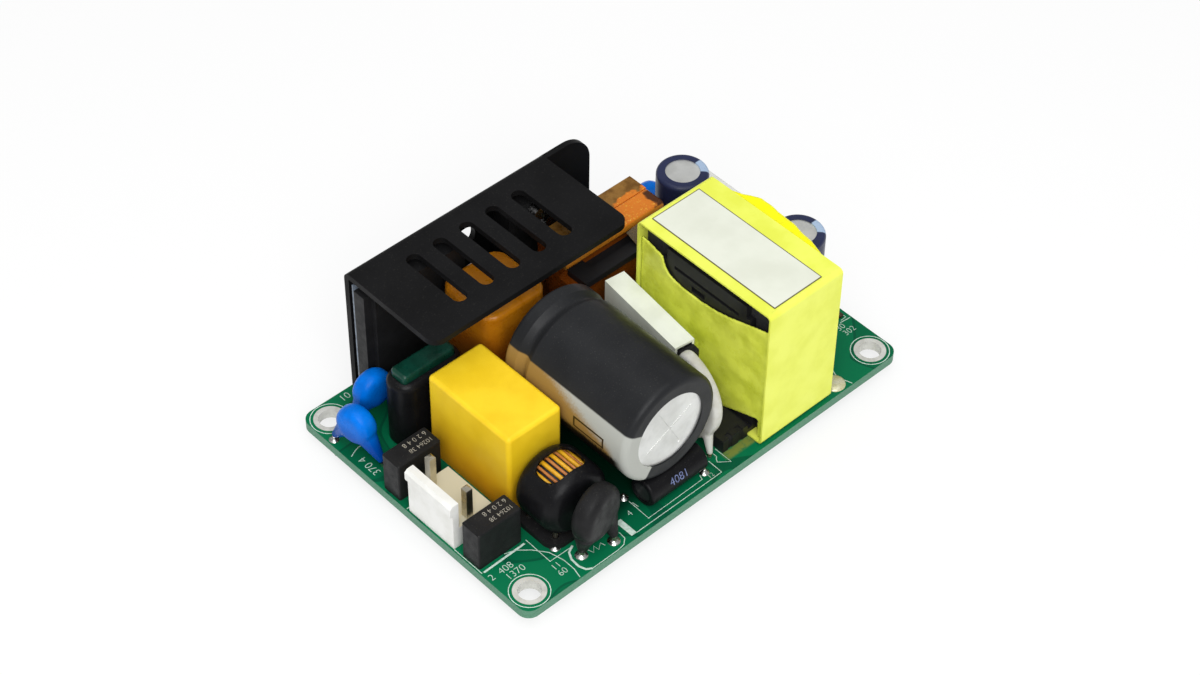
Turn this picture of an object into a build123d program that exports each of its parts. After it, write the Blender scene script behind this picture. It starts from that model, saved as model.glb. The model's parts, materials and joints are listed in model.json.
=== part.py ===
from build123d import *
import math
import os

os.makedirs("parts", exist_ok=True)

# Shared levels and clearances
BOARD_THICKNESS = 1.6
LEAD_END_DROP = 2.0
FIT_GAP = 0.1
FILM_THICKNESS = 0.3
FINE_WIRE_RADIUS = 0.3
LEAD_RADIUS = 0.4

# Circuit board and its mounting holes
BOARD_LENGTH = 76.2
BOARD_WIDTH = 50.8
BOARD_CORNER_RADIUS = 2.0
HOLE_EDGE_DISTANCE = 3.175
HOLE_SPACING_X = BOARD_LENGTH - 2 * HOLE_EDGE_DISTANCE
HOLE_SPACING_Y = BOARD_WIDTH - 2 * HOLE_EDGE_DISTANCE
HOLE_RADIUS = 1.75
PLATING_THICKNESS = 0.2
PLATING_FLANGE_RADIUS = 2.5
PLATING_FLANGE_THICKNESS = 0.05

# Solder joints under the board
JOINT_RADIUS = 0.85
JOINT_SIDES = 8
JOINT_TAPER = 15.0

# Folded sheet heatsink
SHEET_THICKNESS = 1.0
SHEET_BEND_RADIUS = 1.3
SHEET_INNER_BEND_RADIUS = SHEET_BEND_RADIUS - SHEET_THICKNESS
WALL_OUTER_Y = 25.3
WALL_LEFT_X = -28.1
WALL_TAB_LENGTH = 9.5
WALL_TAB_HEIGHT = 23.2
WALL_TAB_CORNER_RADIUS = 5.0
FLANGE_HEIGHT = 24.0
FLANGE_LENGTH = 38.0
FLANGE_DEPTH = 20.1
FLANGE_CORNER_RADIUS = 2.0
SLOT_COUNT = 5
SLOT_PITCH = 5.08
SLOT_CENTRE_LENGTH = 9.9
SLOT_WIDTH = 2.4
SLOT_MIDDLE_X = -8.9
SLOT_MIDDLE_Y = 15.25
SPARE_HOLE_RADIUS = 2.0
SPARE_HOLE_X = -6.0
SPARE_HOLE_Z = 18.6

# Bridge rectifier and the layers behind it
PAD_THICKNESS = 0.7
PAD_LENGTH = 18.0
PAD_HEIGHT = 20.4
PAD_FOOT_Z = 3.6
BRIDGE_LENGTH = 18.4
BRIDGE_THICKNESS = 3.3
BRIDGE_HEIGHT = 19.0
BRIDGE_FOOT_Z = 4.0
BRIDGE_STEP_DEPTH = 1.0
BRIDGE_STEP_LENGTH = 1.3
BRIDGE_LEAD_PITCH = 5.08
BRIDGE_LEAD_WIDTH = 1.1
BRIDGE_LEAD_THICKNESS = 0.6

# Switching transistor and its screw
TRANSISTOR_X = 4.6
TRANSISTOR_WIDTH = 10.0
TRANSISTOR_THICKNESS = 4.3
TRANSISTOR_HEIGHT = 16.5
TRANSISTOR_FOOT_Z = 6.0
TRANSISTOR_LEAD_PITCH = 2.54
TRANSISTOR_LEAD_WIDTH = 0.8
TRANSISTOR_LEAD_THICKNESS = 0.5
TRANSISTOR_EDGE_CHAMFER = 0.6
SCREW_Z = 20.0
SCREW_RADIUS = 1.4
SCREW_HEAD_RADIUS = 2.7
SCREW_HEAD_HEIGHT = 1.6
SCREW_RECESS_DEPTH = 0.8
SCREW_RECESS_WIDTH = 0.8
SCREW_RECESS_LENGTH = 3.0

# Yellow suppression capacitor
X_CAP_X = -22.8
X_CAP_Y = -1.35
X_CAP_WIDTH = 10.2
X_CAP_LENGTH = 17.5
X_CAP_HEIGHT = 16.0
X_CAP_EDGE_RADIUS = 0.7
X_CAP_LEAD_PITCH = 15.0

# Box fuses
FUSE_X = -33.65
FUSE_FRONT_Y = -12.85
FUSE_REAR_Y = 4.6
FUSE_LENGTH = 8.0
FUSE_WIDTH = 3.7
FUSE_HEIGHT = 7.2
FUSE_EDGE_RADIUS = 0.3
FUSE_LEAD_PITCH = 5.08

# Mains input header
HEADER_DEPTH = 7.5
HEADER_BASE_HEIGHT = 3.9
HEADER_WALL_THICKNESS = 1.1
HEADER_WALL_HEIGHT = 9.1
HEADER_LIP_REACH = 0.5
HEADER_LIP_HEIGHT = 1.9
HEADER_LIP_CHAMFER = 0.45
HEADER_PIN_SIZE = 1.14
HEADER_PIN_HEIGHT = 10.0
HEADER_PIN_CHAMFER = 0.35
INPUT_HEADER_OUTER_X = -37.8
INPUT_HEADER_Y = -4.42
INPUT_HEADER_LENGTH = 9.85
INPUT_PIN_X = -34.3
INPUT_PIN_PITCH = 7.92

# Output header behind the transformer
OUTPUT_HEADER_OUTER_X = 37.9
OUTPUT_HEADER_DEPTH = 6.9
OUTPUT_HEADER_Y = 6.5
OUTPUT_PIN_COUNT = 6
OUTPUT_PIN_PITCH = 3.96
OUTPUT_HEADER_LENGTH = OUTPUT_PIN_COUNT * OUTPUT_PIN_PITCH
OUTPUT_PIN_X = 34.5

# Blue safety capacitors
SAFETY_DISC_RADIUS = 3.2
SAFETY_DISC_THICKNESS = 3.4
SAFETY_DISC_EDGE_RADIUS = 1.6
SAFETY_DISC_Z = 7.7
SAFETY_LEAD_PITCH = 9.0
SAFETY_LEG_TOP_RADIUS = 1.6
SAFETY_LEG_FOOT_RADIUS = 0.5
SAFETY_LEG_FOOT_Z = 2.5
SAFETY_OUTER_X = -36.0
SAFETY_OUTER_Y = 14.2
SAFETY_OUTER_TURN = -78.4
SAFETY_INNER_X = -29.7
SAFETY_INNER_Y = 18.2
SAFETY_INNER_TURN = 0.0
SAFETY_OUTPUT_X = 28.9
SAFETY_OUTPUT_Y = 19.85
SAFETY_OUTPUT_TURN = -90.0

# Sleeved ring choke with two windings
RING_X = -22.4
RING_Y = -15.0
RING_Z = 8.3
RING_SLEEVE_RADIUS = 6.4
RING_SLEEVE_DEPTH = 8.6
RING_SLEEVE_EDGE_RADIUS = 2.2
RING_SLEEVE_THICKNESS = 0.5
RING_SLEEVE_FOOT_Z = 3.7
RING_WINDOW_LENGTH = 7.6
RING_WINDOW_WIDTH = 4.6
RING_WINDOW_CORNER_RADIUS = 1.8
RING_WINDOW_Z = 11.0
RING_WIRE_RADIUS = 0.27
RING_WIRE_BEND_RADIUS = 0.6
RING_TURN_COUNT = 30
RING_TURN_BORE_RADIUS = 2.8
RING_TURN_OUTER_RADIUS = 5.3
RING_TURN_DEPTH = 6.1
RING_CORE_EDGE_CHAMFER = 0.35
RING_LEAD_SPAN_X = 7.2
RING_LEAD_SPAN_Y = 5.6
RING_BASE_LENGTH = 11.2
RING_BASE_WIDTH = 9.2
RING_BASE_HEIGHT = 0.9
RING_BASE_CORNER_RADIUS = 2.4

# Sleeved green choke
BAR_X = -24.8
BAR_Y = 12.1
BAR_LENGTH = 9.9
BAR_WIDTH = 3.3
BAR_FOOT_Z = 2.6
BAR_TOP_Z = 15.6
BAR_EDGE_RADIUS = 0.7
BAR_SLEEVE_LENGTH = 12.4
BAR_SLEEVE_WIDTH = 5.6
BAR_SLEEVE_CORNER_RADIUS = 2.7
BAR_SLEEVE_FOOT_Z = 1.9
BAR_SLEEVE_TOP_Z = 14.3
BAR_SLEEVE_SHOULDER_RADIUS = 1.2
BAR_SLEEVE_THICKNESS = 0.5
BAR_SLEEVE_LIP_HEIGHT = 1.3
BAR_LEAD_SPAN = 6.0

# Black inrush thermistor
NTC_X = -22.65
NTC_Y = -22.6
NTC_Z = 9.2
NTC_TURN = 12.4
NTC_RADIUS = 4.6
NTC_THICKNESS = 3.5
NTC_EDGE_RADIUS = 1.4
NTC_LEG_TOP_RADIUS = 1.3
NTC_LEG_FOOT_RADIUS = 0.65
NTC_LEG_FOOT_Z = 3.2
NTC_LEFT_FOOT_X = -25.1
NTC_LEFT_FOOT_Y = -22.4
NTC_RIGHT_FOOT_X = -19.9
NTC_FOOT_EDGE_DISTANCE = 1.8
NTC_RIGHT_FOOT_Y = NTC_FOOT_EDGE_DISTANCE - BOARD_WIDTH / 2

# Large storage capacitor lying along the board
BULK_X = -8.3
BULK_Z = 15.75
BULK_LEAD_END_Y = 3.0
BULK_LENGTH = 25.6
BULK_END_Y = BULK_LEAD_END_Y - BULK_LENGTH
BULK_SLEEVE_RADIUS = 9.05
BULK_SLEEVE_THICKNESS = 0.3
BULK_SLEEVE_LIP_RADIUS = 6.3
BULK_SLEEVE_CORNER_RADIUS = 1.1
BULK_GROOVE_SETBACK = 3.7
BULK_GROOVE_PLACE = BULK_LENGTH - BULK_GROOVE_SETBACK
BULK_GROOVE_WIDTH = 2.6
BULK_GROOVE_DEPTH = 0.7
BULK_REAR_LIP_RADIUS = 7.6
BULK_CAN_RADIUS = BULK_SLEEVE_RADIUS - BULK_SLEEVE_THICKNESS - FIT_GAP
BULK_VENT_LENGTH = 9.6
BULK_VENT_WIDTH = 0.3
BULK_VENT_DEPTH = 0.12
BULK_VENT_TURN = 27.0
BULK_BUNG_RADIUS = 7.0
BULK_BUNG_DEPTH = 1.4
BULK_LEAD_PITCH = 7.5
BULK_LEAD_REACH = 1.9
BULK_LEAD_BEND_RADIUS = 0.9

# Small control capacitor lying in front of it
SMALL_CAP_LEFT_X = -12.2
SMALL_CAP_LENGTH = 11.0
SMALL_CAP_Y = -21.1
SMALL_CAP_RADIUS = 2.4
SMALL_CAP_SLEEVE_THICKNESS = 0.2
SMALL_CAP_LIP_RADIUS = 1.6
SMALL_CAP_CORNER_RADIUS = 0.45
SMALL_CAP_LEAD_PITCH = 2.0
SMALL_CAP_LEAD_REACH = 0.8
SMALL_CAP_LEAD_BEND_RADIUS = 0.4

# White coated thermistor beside the storage capacitor
WHITE_DISC_X = 2.3
WHITE_DISC_THICKNESS = 2.0
WHITE_DISC_RADIUS = 8.5
WHITE_DISC_Y = -13.6
WHITE_DISC_Z = 10.2
WHITE_DISC_BACK_Y = -13.8
WHITE_DISC_EDGE_RADIUS = 0.7
WHITE_DISC_CORNER_RADIUS = 1.6
WHITE_LEG_TOP_RADIUS = 0.95
WHITE_LEG_FOOT_RADIUS = 0.45
WHITE_LEG_X = 1.5
WHITE_FRONT_LEG_Y = -21.3
WHITE_REAR_LEG_Y = -15.0
WHITE_LEG_FOOT_Z = 2.2

# Upright insulated plate beside the transformer
PLATE_X = 4.5
PLATE_Y = -4.7
PLATE_TURN = -6.9
PLATE_LENGTH = 17.2
PLATE_THICKNESS = 2.7
PLATE_TOP_Z = 17.6
PLATE_COVER_THICKNESS = 0.4
PLATE_COVER_FOOT_Z = 4.0

# Main transformer
TRAFO_X = 15.9
TRAFO_Y = -11.35
TRAFO_BAND_WIDTH = 14.8
TRAFO_LENGTH = 27.3
TRAFO_FOOT_Z = 1.9
TRAFO_TOP_Z = 28.4
TRAFO_BAND_EDGE_RADIUS = 0.8
TRAFO_CORE_DEPTH = 11.0
TRAFO_CORE_YOKE = 4.2
TRAFO_CORE_LEG = 4.2
TRAFO_CENTRE_LEG = 8.0
TRAFO_BOBBIN_WALL = 0.8
TRAFO_FLANGE_THICKNESS = 1.0
TRAFO_TOP_FLANGE_THICKNESS = 4.0
TRAFO_FLANGE_LEFT_X = 9.4
TRAFO_FLANGE_RIGHT_X = 22.6
TRAFO_WINDING_LEFT_X = 9.3
TRAFO_WINDING_RIGHT_X = 24.2
TRAFO_WINDING_EDGE_RADIUS = 2.0
TRAFO_CURTAIN_THICKNESS = 0.35
TRAFO_CURTAIN_TOP_GAP = 1.1
TRAFO_FOLD_REACH = 3.2
TRAFO_FOLD_SHOULDER = 2.2
TRAFO_FOLD_FOOT_Z = 22.7
TRAFO_FOLD_TOP_Z = 27.5
TRAFO_FOLD_FRONT_Y = -23.4
TRAFO_FOLD_CREST_FRONT_Y = -8.0
TRAFO_FOLD_CREST_REAR_Y = -5.6
TRAFO_FOLD_REAR_Y = 0.8
TRAFO_FOLD_EDGE_RADIUS = 0.7
TRAFO_SKIRT_THICKNESS = 1.0
TRAFO_RAIL_REACH = 5.1
TRAFO_RAIL_HEIGHT = 2.4
TRAFO_RAIL_LINK_HEIGHT = 0.8
TRAFO_RAIL_LINK_OVERLAP = 0.2
TRAFO_NOTCH_WIDTH = 0.8
TRAFO_NOTCH_DEPTH = 1.0
TRAFO_NOTCH_PITCH = 2.1
TRAFO_TOP_RAIL_LENGTH = 16.4
TRAFO_TOP_RAIL_HEIGHT = 2.2
TRAFO_TOP_GROOVE_DROP = 0.2
TRAFO_TOP_GROOVE_HEIGHT = 0.6
TRAFO_TOP_GROOVE_DEPTH = 0.5
TRAFO_TOP_GROOVE_MARGIN = 1.6
TRAFO_TOP_NOTCH_DROP = 1.7
TRAFO_TOP_NOTCH_HEIGHT = 1.0
TRAFO_TOP_NOTCH_LENGTH = 2.7
TRAFO_TOP_NOTCH_SETBACK = 5.2
SIDE_TAPE_SKIRT_DROP = 3.2
SIDE_TAPE_SKIRT_START = 8.4
SIDE_TAPE_FRONT_MARGIN = 1.6
SIDE_TAPE_FRONT_DROP = 0.5
SIDE_TAPE_FOOT_GAP = 0.6
SIDE_TAPE_REAR_TOP_DROP = 3.1
SIDE_TAPE_REAR_STEP_DROP = 4.0
SIDE_TAPE_REAR_STEP = 4.9
SIDE_TAPE_SAG_START_DROP = 6.5
SIDE_TAPE_SAG_DROP = 7.5
SIDE_TAPE_SAG_END_DROP = 7.0
SIDE_TAPE_SAG_START = 6.3
SIDE_TAPE_SAG_MIDDLE = 12.4
SIDE_TAPE_SAG_END = 16.2
SIDE_TAPE_FRONT_TOP_DROP = 3.7
TRAFO_RAIL_FRONT_Y = -22.1
TRAFO_RAIL_REAR_Y = -16.4
TRAFO_PIN_COUNT = 4
TRAFO_PIN_PITCH = 5.0
TRAFO_PIN_SPAN = 10.6
LABEL_LENGTH = 25.1
LABEL_WIDTH = 9.6
LABEL_THICKNESS = 0.12
LABEL_X = 15.1
LABEL_Y = -11.4

# Amber wrapped filter choke under the heatsink
AMBER_X = -10.05
AMBER_Y = 13.15
AMBER_LENGTH = 11.5
AMBER_DEPTH = 11.7
AMBER_TOP_Z = 20.0
AMBER_BASE_HEIGHT = 1.6
AMBER_CORNER_RADIUS = 2.4
AMBER_TOP_RADIUS = 0.8
AMBER_BASE_MARGIN = 0.7
AMBER_LEAD_PITCH = 7.5

# Boost choke in the rear corner
BOOST_LEFT_X = 0.6
BOOST_RIGHT_X = 20.8
BOOST_FRONT_Y = 6.7
BOOST_REAR_Y = 13.2
BOOST_TOP_Z = 20.0
BOOST_CORNER_RADIUS = 0.9
BOOST_UPPER_FRONT_Y = 9.0
BOOST_RECESS_FRONT_Y = 10.2
BOOST_BROW_HEIGHT = 1.2
BOOST_LEDGE_REACH = 0.6
BOOST_LEDGE_FOOT_Z = 15.9
BOOST_LEDGE_HEIGHT = 1.1
BOOST_LEDGE_INSET = 1.3
BOOST_TROUGH_INSET = 3.0
BOOST_TROUGH_WIDTH = 1.9
BOOST_TROUGH_DEPTH = 0.8
BOOST_TROUGH_CORNER_RADIUS = 0.5
BOOST_BASE_HEIGHT = 1.5
BOOST_FILM_REAR_Y = 16.8
BOOST_FILM_HEIGHT = 13.0
BOOST_LEAD_SPAN_X = 15.0
BOOST_LEAD_SPAN_Y = 4.4

# Output capacitors
OUTPUT_CAP_RADIUS = 4.1
OUTPUT_CAP_FOOT_Z = 1.9
OUTPUT_CAP_TOP_Z = 21.2
OUTPUT_CAP_SLEEVE_THICKNESS = 0.2
OUTPUT_CAP_LIP_RADIUS = 2.7
OUTPUT_CAP_CORNER_RADIUS = 0.7
OUTPUT_CAP_LEAD_PITCH = 3.5
OUTPUT_CAP_REAR_X = 26.6
OUTPUT_CAP_REAR_Y = 11.2
OUTPUT_CAP_FRONT_X = 30.1
OUTPUT_CAP_FRONT_Y = -10.1

# Chips under the board
CHIP_LENGTH = 10.0
CHIP_WIDTH = 4.0
CHIP_HEIGHT = 1.3
CHIP_X = -12.0
CHIP_Y = -4.0
CHIP_PITCH_X = 16.0
CHIP_COUNT = 3


def save(piece, name):
    """Names a finished piece and writes its file."""
    piece.part.label = name
    export_step(piece.part, "parts/" + name + ".step")


def block(left, right, front, rear, foot, top, mode=Mode.ADD):
    """Adds or cuts a box between these limits in the piece being built."""
    with Locations(((left + right) / 2, (front + rear) / 2, (foot + top) / 2)):
        Box(right - left, rear - front, top - foot, mode=mode)


def turned_profile(plane, outline, radii):
    """Closed outline of a turned piece, with one radius for each corner."""
    with BuildSketch(plane) as profile:
        with BuildLine():
            FilletPolyline(*outline, radius=radii, close=True)
        make_face()
    return profile.sketch


def pair(x, y, pitch_x, pitch_y):
    """The two feet of a part, spread along the board."""
    return [
        (x - pitch_x / 2, y - pitch_y / 2),
        (x + pitch_x / 2, y + pitch_y / 2),
    ]


def row(x, y, count, pitch_x, pitch_y):
    """Evenly spaced feet in a line about one middle point."""
    offsets = [index - (count - 1) / 2 for index in range(count)]
    return [(x + pitch_x * step, y + pitch_y * step) for step in offsets]


def disc_feet(x, y, turn, pitch):
    """The two feet of a turned disc part."""
    half = pitch / 2
    along_x = half * math.cos(math.radians(turn))
    along_y = half * math.sin(math.radians(turn))
    return [(x - along_x, y - along_y), (x + along_x, y + along_y)]


# Circuit board
with BuildPart() as circuit_board:
    with BuildSketch(Plane.XY):
        RectangleRounded(BOARD_LENGTH, BOARD_WIDTH, BOARD_CORNER_RADIUS)
        with GridLocations(HOLE_SPACING_X, HOLE_SPACING_Y, 2, 2):
            Circle(HOLE_RADIUS + PLATING_THICKNESS, mode=Mode.SUBTRACT)
    extrude(amount=BOARD_THICKNESS)
save(circuit_board, "circuit_board")

# Tinned platings that line the mounting holes
with BuildPart() as mounting_hole_platings:
    with BuildSketch(Plane.XY):
        with GridLocations(HOLE_SPACING_X, HOLE_SPACING_Y, 2, 2):
            Circle(HOLE_RADIUS + PLATING_THICKNESS)
    extrude(amount=BOARD_THICKNESS)
    with BuildSketch(Plane.XY.offset(BOARD_THICKNESS)):
        with GridLocations(HOLE_SPACING_X, HOLE_SPACING_Y, 2, 2):
            Circle(PLATING_FLANGE_RADIUS)
    extrude(amount=PLATING_FLANGE_THICKNESS)
    with BuildSketch(Plane.XY):
        with GridLocations(HOLE_SPACING_X, HOLE_SPACING_Y, 2, 2):
            Circle(PLATING_FLANGE_RADIUS)
    extrude(amount=-PLATING_FLANGE_THICKNESS)
    with BuildSketch(Plane.XY.offset(-PLATING_FLANGE_THICKNESS)):
        with GridLocations(HOLE_SPACING_X, HOLE_SPACING_Y, 2, 2):
            Circle(HOLE_RADIUS)
    extrude(amount=BOARD_THICKNESS + 2 * PLATING_FLANGE_THICKNESS, mode=Mode.SUBTRACT)
save(mounting_hole_platings, "mounting_hole_platings")

# Heatsink folded from one sheet, with a slotted flange over the parts
WALL_INNER_Y = WALL_OUTER_Y - SHEET_THICKNESS
FLANGE_TOP_Z = BOARD_THICKNESS + FLANGE_HEIGHT
FLANGE_FRONT_Y = WALL_OUTER_Y - FLANGE_DEPTH
FLANGE_RIGHT_X = WALL_LEFT_X + FLANGE_LENGTH
WALL_RIGHT_X = FLANGE_RIGHT_X + WALL_TAB_LENGTH
WALL_TAB_TOP_Z = BOARD_THICKNESS + WALL_TAB_HEIGHT
with BuildPart() as heatsink:
    with BuildSketch(Plane.YZ.offset(WALL_LEFT_X)):
        with BuildLine():
            FilletPolyline(
                (WALL_OUTER_Y, BOARD_THICKNESS),
                (WALL_OUTER_Y, FLANGE_TOP_Z),
                (FLANGE_FRONT_Y, FLANGE_TOP_Z),
                radius=SHEET_BEND_RADIUS,
            )
            FilletPolyline(
                (WALL_INNER_Y, BOARD_THICKNESS),
                (WALL_INNER_Y, FLANGE_TOP_Z - SHEET_THICKNESS),
                (FLANGE_FRONT_Y, FLANGE_TOP_Z - SHEET_THICKNESS),
                radius=SHEET_INNER_BEND_RADIUS,
            )
            Line((WALL_OUTER_Y, BOARD_THICKNESS), (WALL_INNER_Y, BOARD_THICKNESS))
            Line(
                (FLANGE_FRONT_Y, FLANGE_TOP_Z),
                (FLANGE_FRONT_Y, FLANGE_TOP_Z - SHEET_THICKNESS),
            )
        make_face()
    extrude(amount=FLANGE_LENGTH)
    lip_edges = heatsink.edges().filter_by(Axis.Z).group_by(Axis.Y)[0]
    fillet(lip_edges, FLANGE_CORNER_RADIUS)
    with BuildSketch(Plane.XZ.offset(-WALL_OUTER_Y)) as wall_tab:
        with BuildLine():
            FilletPolyline(
                (FLANGE_RIGHT_X, BOARD_THICKNESS),
                (WALL_RIGHT_X, BOARD_THICKNESS),
                (WALL_RIGHT_X, WALL_TAB_TOP_Z),
                (FLANGE_RIGHT_X, WALL_TAB_TOP_Z),
                radius=(0, 0, WALL_TAB_CORNER_RADIUS, 0),
                close=True,
            )
        make_face()
    extrude(amount=SHEET_THICKNESS)
    with BuildSketch(Plane.XY.offset(FLANGE_TOP_Z)):
        with Locations((SLOT_MIDDLE_X, SLOT_MIDDLE_Y)):
            with GridLocations(SLOT_PITCH, SLOT_PITCH, SLOT_COUNT, 1):
                SlotCenterToCenter(SLOT_CENTRE_LENGTH, SLOT_WIDTH, rotation=90)
    extrude(amount=-SHEET_THICKNESS, mode=Mode.SUBTRACT)
    with BuildSketch(Plane.XZ.offset(-WALL_OUTER_Y)):
        with Locations((SPARE_HOLE_X, SPARE_HOLE_Z)):
            Circle(SPARE_HOLE_RADIUS)
        with Locations((TRANSISTOR_X, SCREW_Z)):
            Circle(SCREW_RADIUS)
    extrude(amount=SHEET_THICKNESS, mode=Mode.SUBTRACT)
save(heatsink, "heatsink")

# Thermal pad on the wall and the clear film in front of it
PAD_FRONT_Y = WALL_INNER_Y - PAD_THICKNESS
PAD_LEFT_X = WALL_LEFT_X + SHEET_THICKNESS / 2
with BuildPart() as thermal_pad:
    block(
        PAD_LEFT_X,
        PAD_LEFT_X + PAD_LENGTH,
        PAD_FRONT_Y,
        WALL_INNER_Y,
        PAD_FOOT_Z,
        PAD_FOOT_Z + PAD_HEIGHT,
    )
save(thermal_pad, "thermal_pad")

FILM_FRONT_Y = PAD_FRONT_Y - FILM_THICKNESS
with BuildPart() as insulating_film:
    block(
        WALL_LEFT_X,
        WALL_LEFT_X + BRIDGE_LENGTH,
        FILM_FRONT_Y,
        PAD_FRONT_Y,
        PAD_FOOT_Z,
        PAD_FOOT_Z + PAD_HEIGHT,
    )
save(insulating_film, "insulating_film")

# Bridge rectifier body with a stepped left end, and its four flat leads
BRIDGE_FRONT_Y = FILM_FRONT_Y - BRIDGE_THICKNESS
BRIDGE_MIDDLE_X = WALL_LEFT_X + BRIDGE_LENGTH / 2
BRIDGE_MIDDLE_Y = (FILM_FRONT_Y + BRIDGE_FRONT_Y) / 2
BRIDGE_TOP_Z = BRIDGE_FOOT_Z + BRIDGE_HEIGHT
with BuildPart() as bridge_rectifier:
    block(
        WALL_LEFT_X,
        WALL_LEFT_X + BRIDGE_LENGTH,
        BRIDGE_FRONT_Y,
        FILM_FRONT_Y,
        BRIDGE_FOOT_Z,
        BRIDGE_TOP_Z,
    )
    block(
        WALL_LEFT_X,
        WALL_LEFT_X + BRIDGE_STEP_LENGTH,
        BRIDGE_FRONT_Y,
        BRIDGE_FRONT_Y + BRIDGE_STEP_DEPTH,
        BRIDGE_FOOT_Z,
        BRIDGE_TOP_Z,
        mode=Mode.SUBTRACT,
    )
save(bridge_rectifier, "bridge_rectifier")

bridge_feet = row(BRIDGE_MIDDLE_X, BRIDGE_MIDDLE_Y, 4, BRIDGE_LEAD_PITCH, 0)
with BuildPart() as bridge_leads:
    with BuildSketch(Plane.XY.offset(BOARD_THICKNESS)):
        with Locations(*bridge_feet):
            Rectangle(BRIDGE_LEAD_WIDTH, BRIDGE_LEAD_THICKNESS)
    extrude(amount=BRIDGE_FOOT_Z - BOARD_THICKNESS)
save(bridge_leads, "bridge_leads")

# Switching transistor held to the wall by one screw
TRANSISTOR_FRONT_Y = WALL_INNER_Y - TRANSISTOR_THICKNESS
TRANSISTOR_MIDDLE_Y = WALL_INNER_Y - TRANSISTOR_THICKNESS / 2
with BuildPart() as switching_transistor:
    block(
        TRANSISTOR_X - TRANSISTOR_WIDTH / 2,
        TRANSISTOR_X + TRANSISTOR_WIDTH / 2,
        TRANSISTOR_FRONT_Y,
        WALL_INNER_Y,
        TRANSISTOR_FOOT_Z,
        TRANSISTOR_FOOT_Z + TRANSISTOR_HEIGHT,
    )
    chamfer(switching_transistor.faces().sort_by(Axis.Y)[0].edges(), TRANSISTOR_EDGE_CHAMFER)
    with BuildSketch(Plane.XZ.offset(-WALL_INNER_Y)):
        with Locations((TRANSISTOR_X, SCREW_Z)):
            Circle(SCREW_RADIUS + FIT_GAP)
    extrude(amount=TRANSISTOR_THICKNESS, mode=Mode.SUBTRACT)
save(switching_transistor, "switching_transistor")

transistor_feet = row(TRANSISTOR_X, TRANSISTOR_MIDDLE_Y, 3, TRANSISTOR_LEAD_PITCH, 0)
with BuildPart() as transistor_leads:
    with BuildSketch(Plane.XY.offset(BOARD_THICKNESS)):
        with Locations(*transistor_feet):
            Rectangle(TRANSISTOR_LEAD_WIDTH, TRANSISTOR_LEAD_THICKNESS)
    extrude(amount=TRANSISTOR_FOOT_Z - BOARD_THICKNESS)
save(transistor_leads, "transistor_leads")

with BuildPart() as transistor_screw:
    with BuildSketch(Plane.XZ.offset(-WALL_OUTER_Y)):
        with Locations((TRANSISTOR_X, SCREW_Z)):
            Circle(SCREW_RADIUS)
    extrude(amount=SHEET_THICKNESS + TRANSISTOR_THICKNESS)
    with BuildSketch(Plane.XZ.offset(-TRANSISTOR_FRONT_Y)):
        with Locations((TRANSISTOR_X, SCREW_Z)):
            Circle(SCREW_HEAD_RADIUS)
    extrude(amount=SCREW_HEAD_HEIGHT)
    with BuildSketch(Plane.XZ.offset(SCREW_HEAD_HEIGHT - TRANSISTOR_FRONT_Y)):
        with Locations((TRANSISTOR_X, SCREW_Z)):
            Rectangle(SCREW_RECESS_LENGTH, SCREW_RECESS_WIDTH)
            Rectangle(SCREW_RECESS_WIDTH, SCREW_RECESS_LENGTH)
    extrude(amount=-SCREW_RECESS_DEPTH, mode=Mode.SUBTRACT)
save(transistor_screw, "transistor_screw")

# Yellow suppression capacitor
with BuildPart() as suppression_capacitor:
    with BuildSketch(Plane.XY.offset(BOARD_THICKNESS)):
        with Locations((X_CAP_X, X_CAP_Y)):
            Rectangle(X_CAP_WIDTH, X_CAP_LENGTH)
    extrude(amount=X_CAP_HEIGHT)
    x_cap_upright = suppression_capacitor.edges().filter_by(Axis.Z)
    x_cap_rim = suppression_capacitor.faces().sort_by(Axis.Z)[-1].edges()
    fillet(x_cap_upright + x_cap_rim, X_CAP_EDGE_RADIUS)
save(suppression_capacitor, "suppression_capacitor")

# Two box fuses
with BuildPart() as fuses:
    with BuildSketch(Plane.XY.offset(BOARD_THICKNESS)):
        with Locations((FUSE_X, FUSE_FRONT_Y), (FUSE_X, FUSE_REAR_Y)):
            RectangleRounded(FUSE_LENGTH, FUSE_WIDTH, FUSE_EDGE_RADIUS)
    extrude(amount=FUSE_HEIGHT)
    chamfer(fuses.faces().group_by(Axis.Z)[-1].edges(), FUSE_EDGE_RADIUS / 2)
save(fuses, "fuses")


def header_profile(outer_x, inward, depth):
    """Side outline of a header: a base, a guide wall and its outward lip."""
    base_top = BOARD_THICKNESS + HEADER_BASE_HEIGHT
    wall_top = BOARD_THICKNESS + HEADER_WALL_HEIGHT
    lip_foot = wall_top - HEADER_LIP_HEIGHT
    lip_x = outer_x - inward * HEADER_LIP_REACH
    wall_x = outer_x + inward * HEADER_WALL_THICKNESS
    inner_x = outer_x + inward * depth
    return [
        (outer_x, BOARD_THICKNESS),
        (outer_x, lip_foot - HEADER_LIP_CHAMFER),
        (lip_x, lip_foot),
        (lip_x, wall_top - HEADER_LIP_CHAMFER),
        (outer_x, wall_top),
        (wall_x, wall_top),
        (wall_x, base_top),
        (inner_x, base_top),
        (inner_x, BOARD_THICKNESS),
    ]


def build_header(outline, middle_y, length, pins):
    """Header body with a square hole through the base for each pin."""
    with BuildPart() as header:
        with BuildSketch(Plane.XZ.offset(-middle_y)):
            with BuildLine():
                Polyline(*outline, close=True)
            make_face()
        extrude(amount=length / 2, both=True)
        with BuildSketch(Plane.XY.offset(BOARD_THICKNESS)):
            with Locations(*pins):
                Rectangle(HEADER_PIN_SIZE, HEADER_PIN_SIZE)
        extrude(amount=HEADER_BASE_HEIGHT, mode=Mode.SUBTRACT)
    return header


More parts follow.
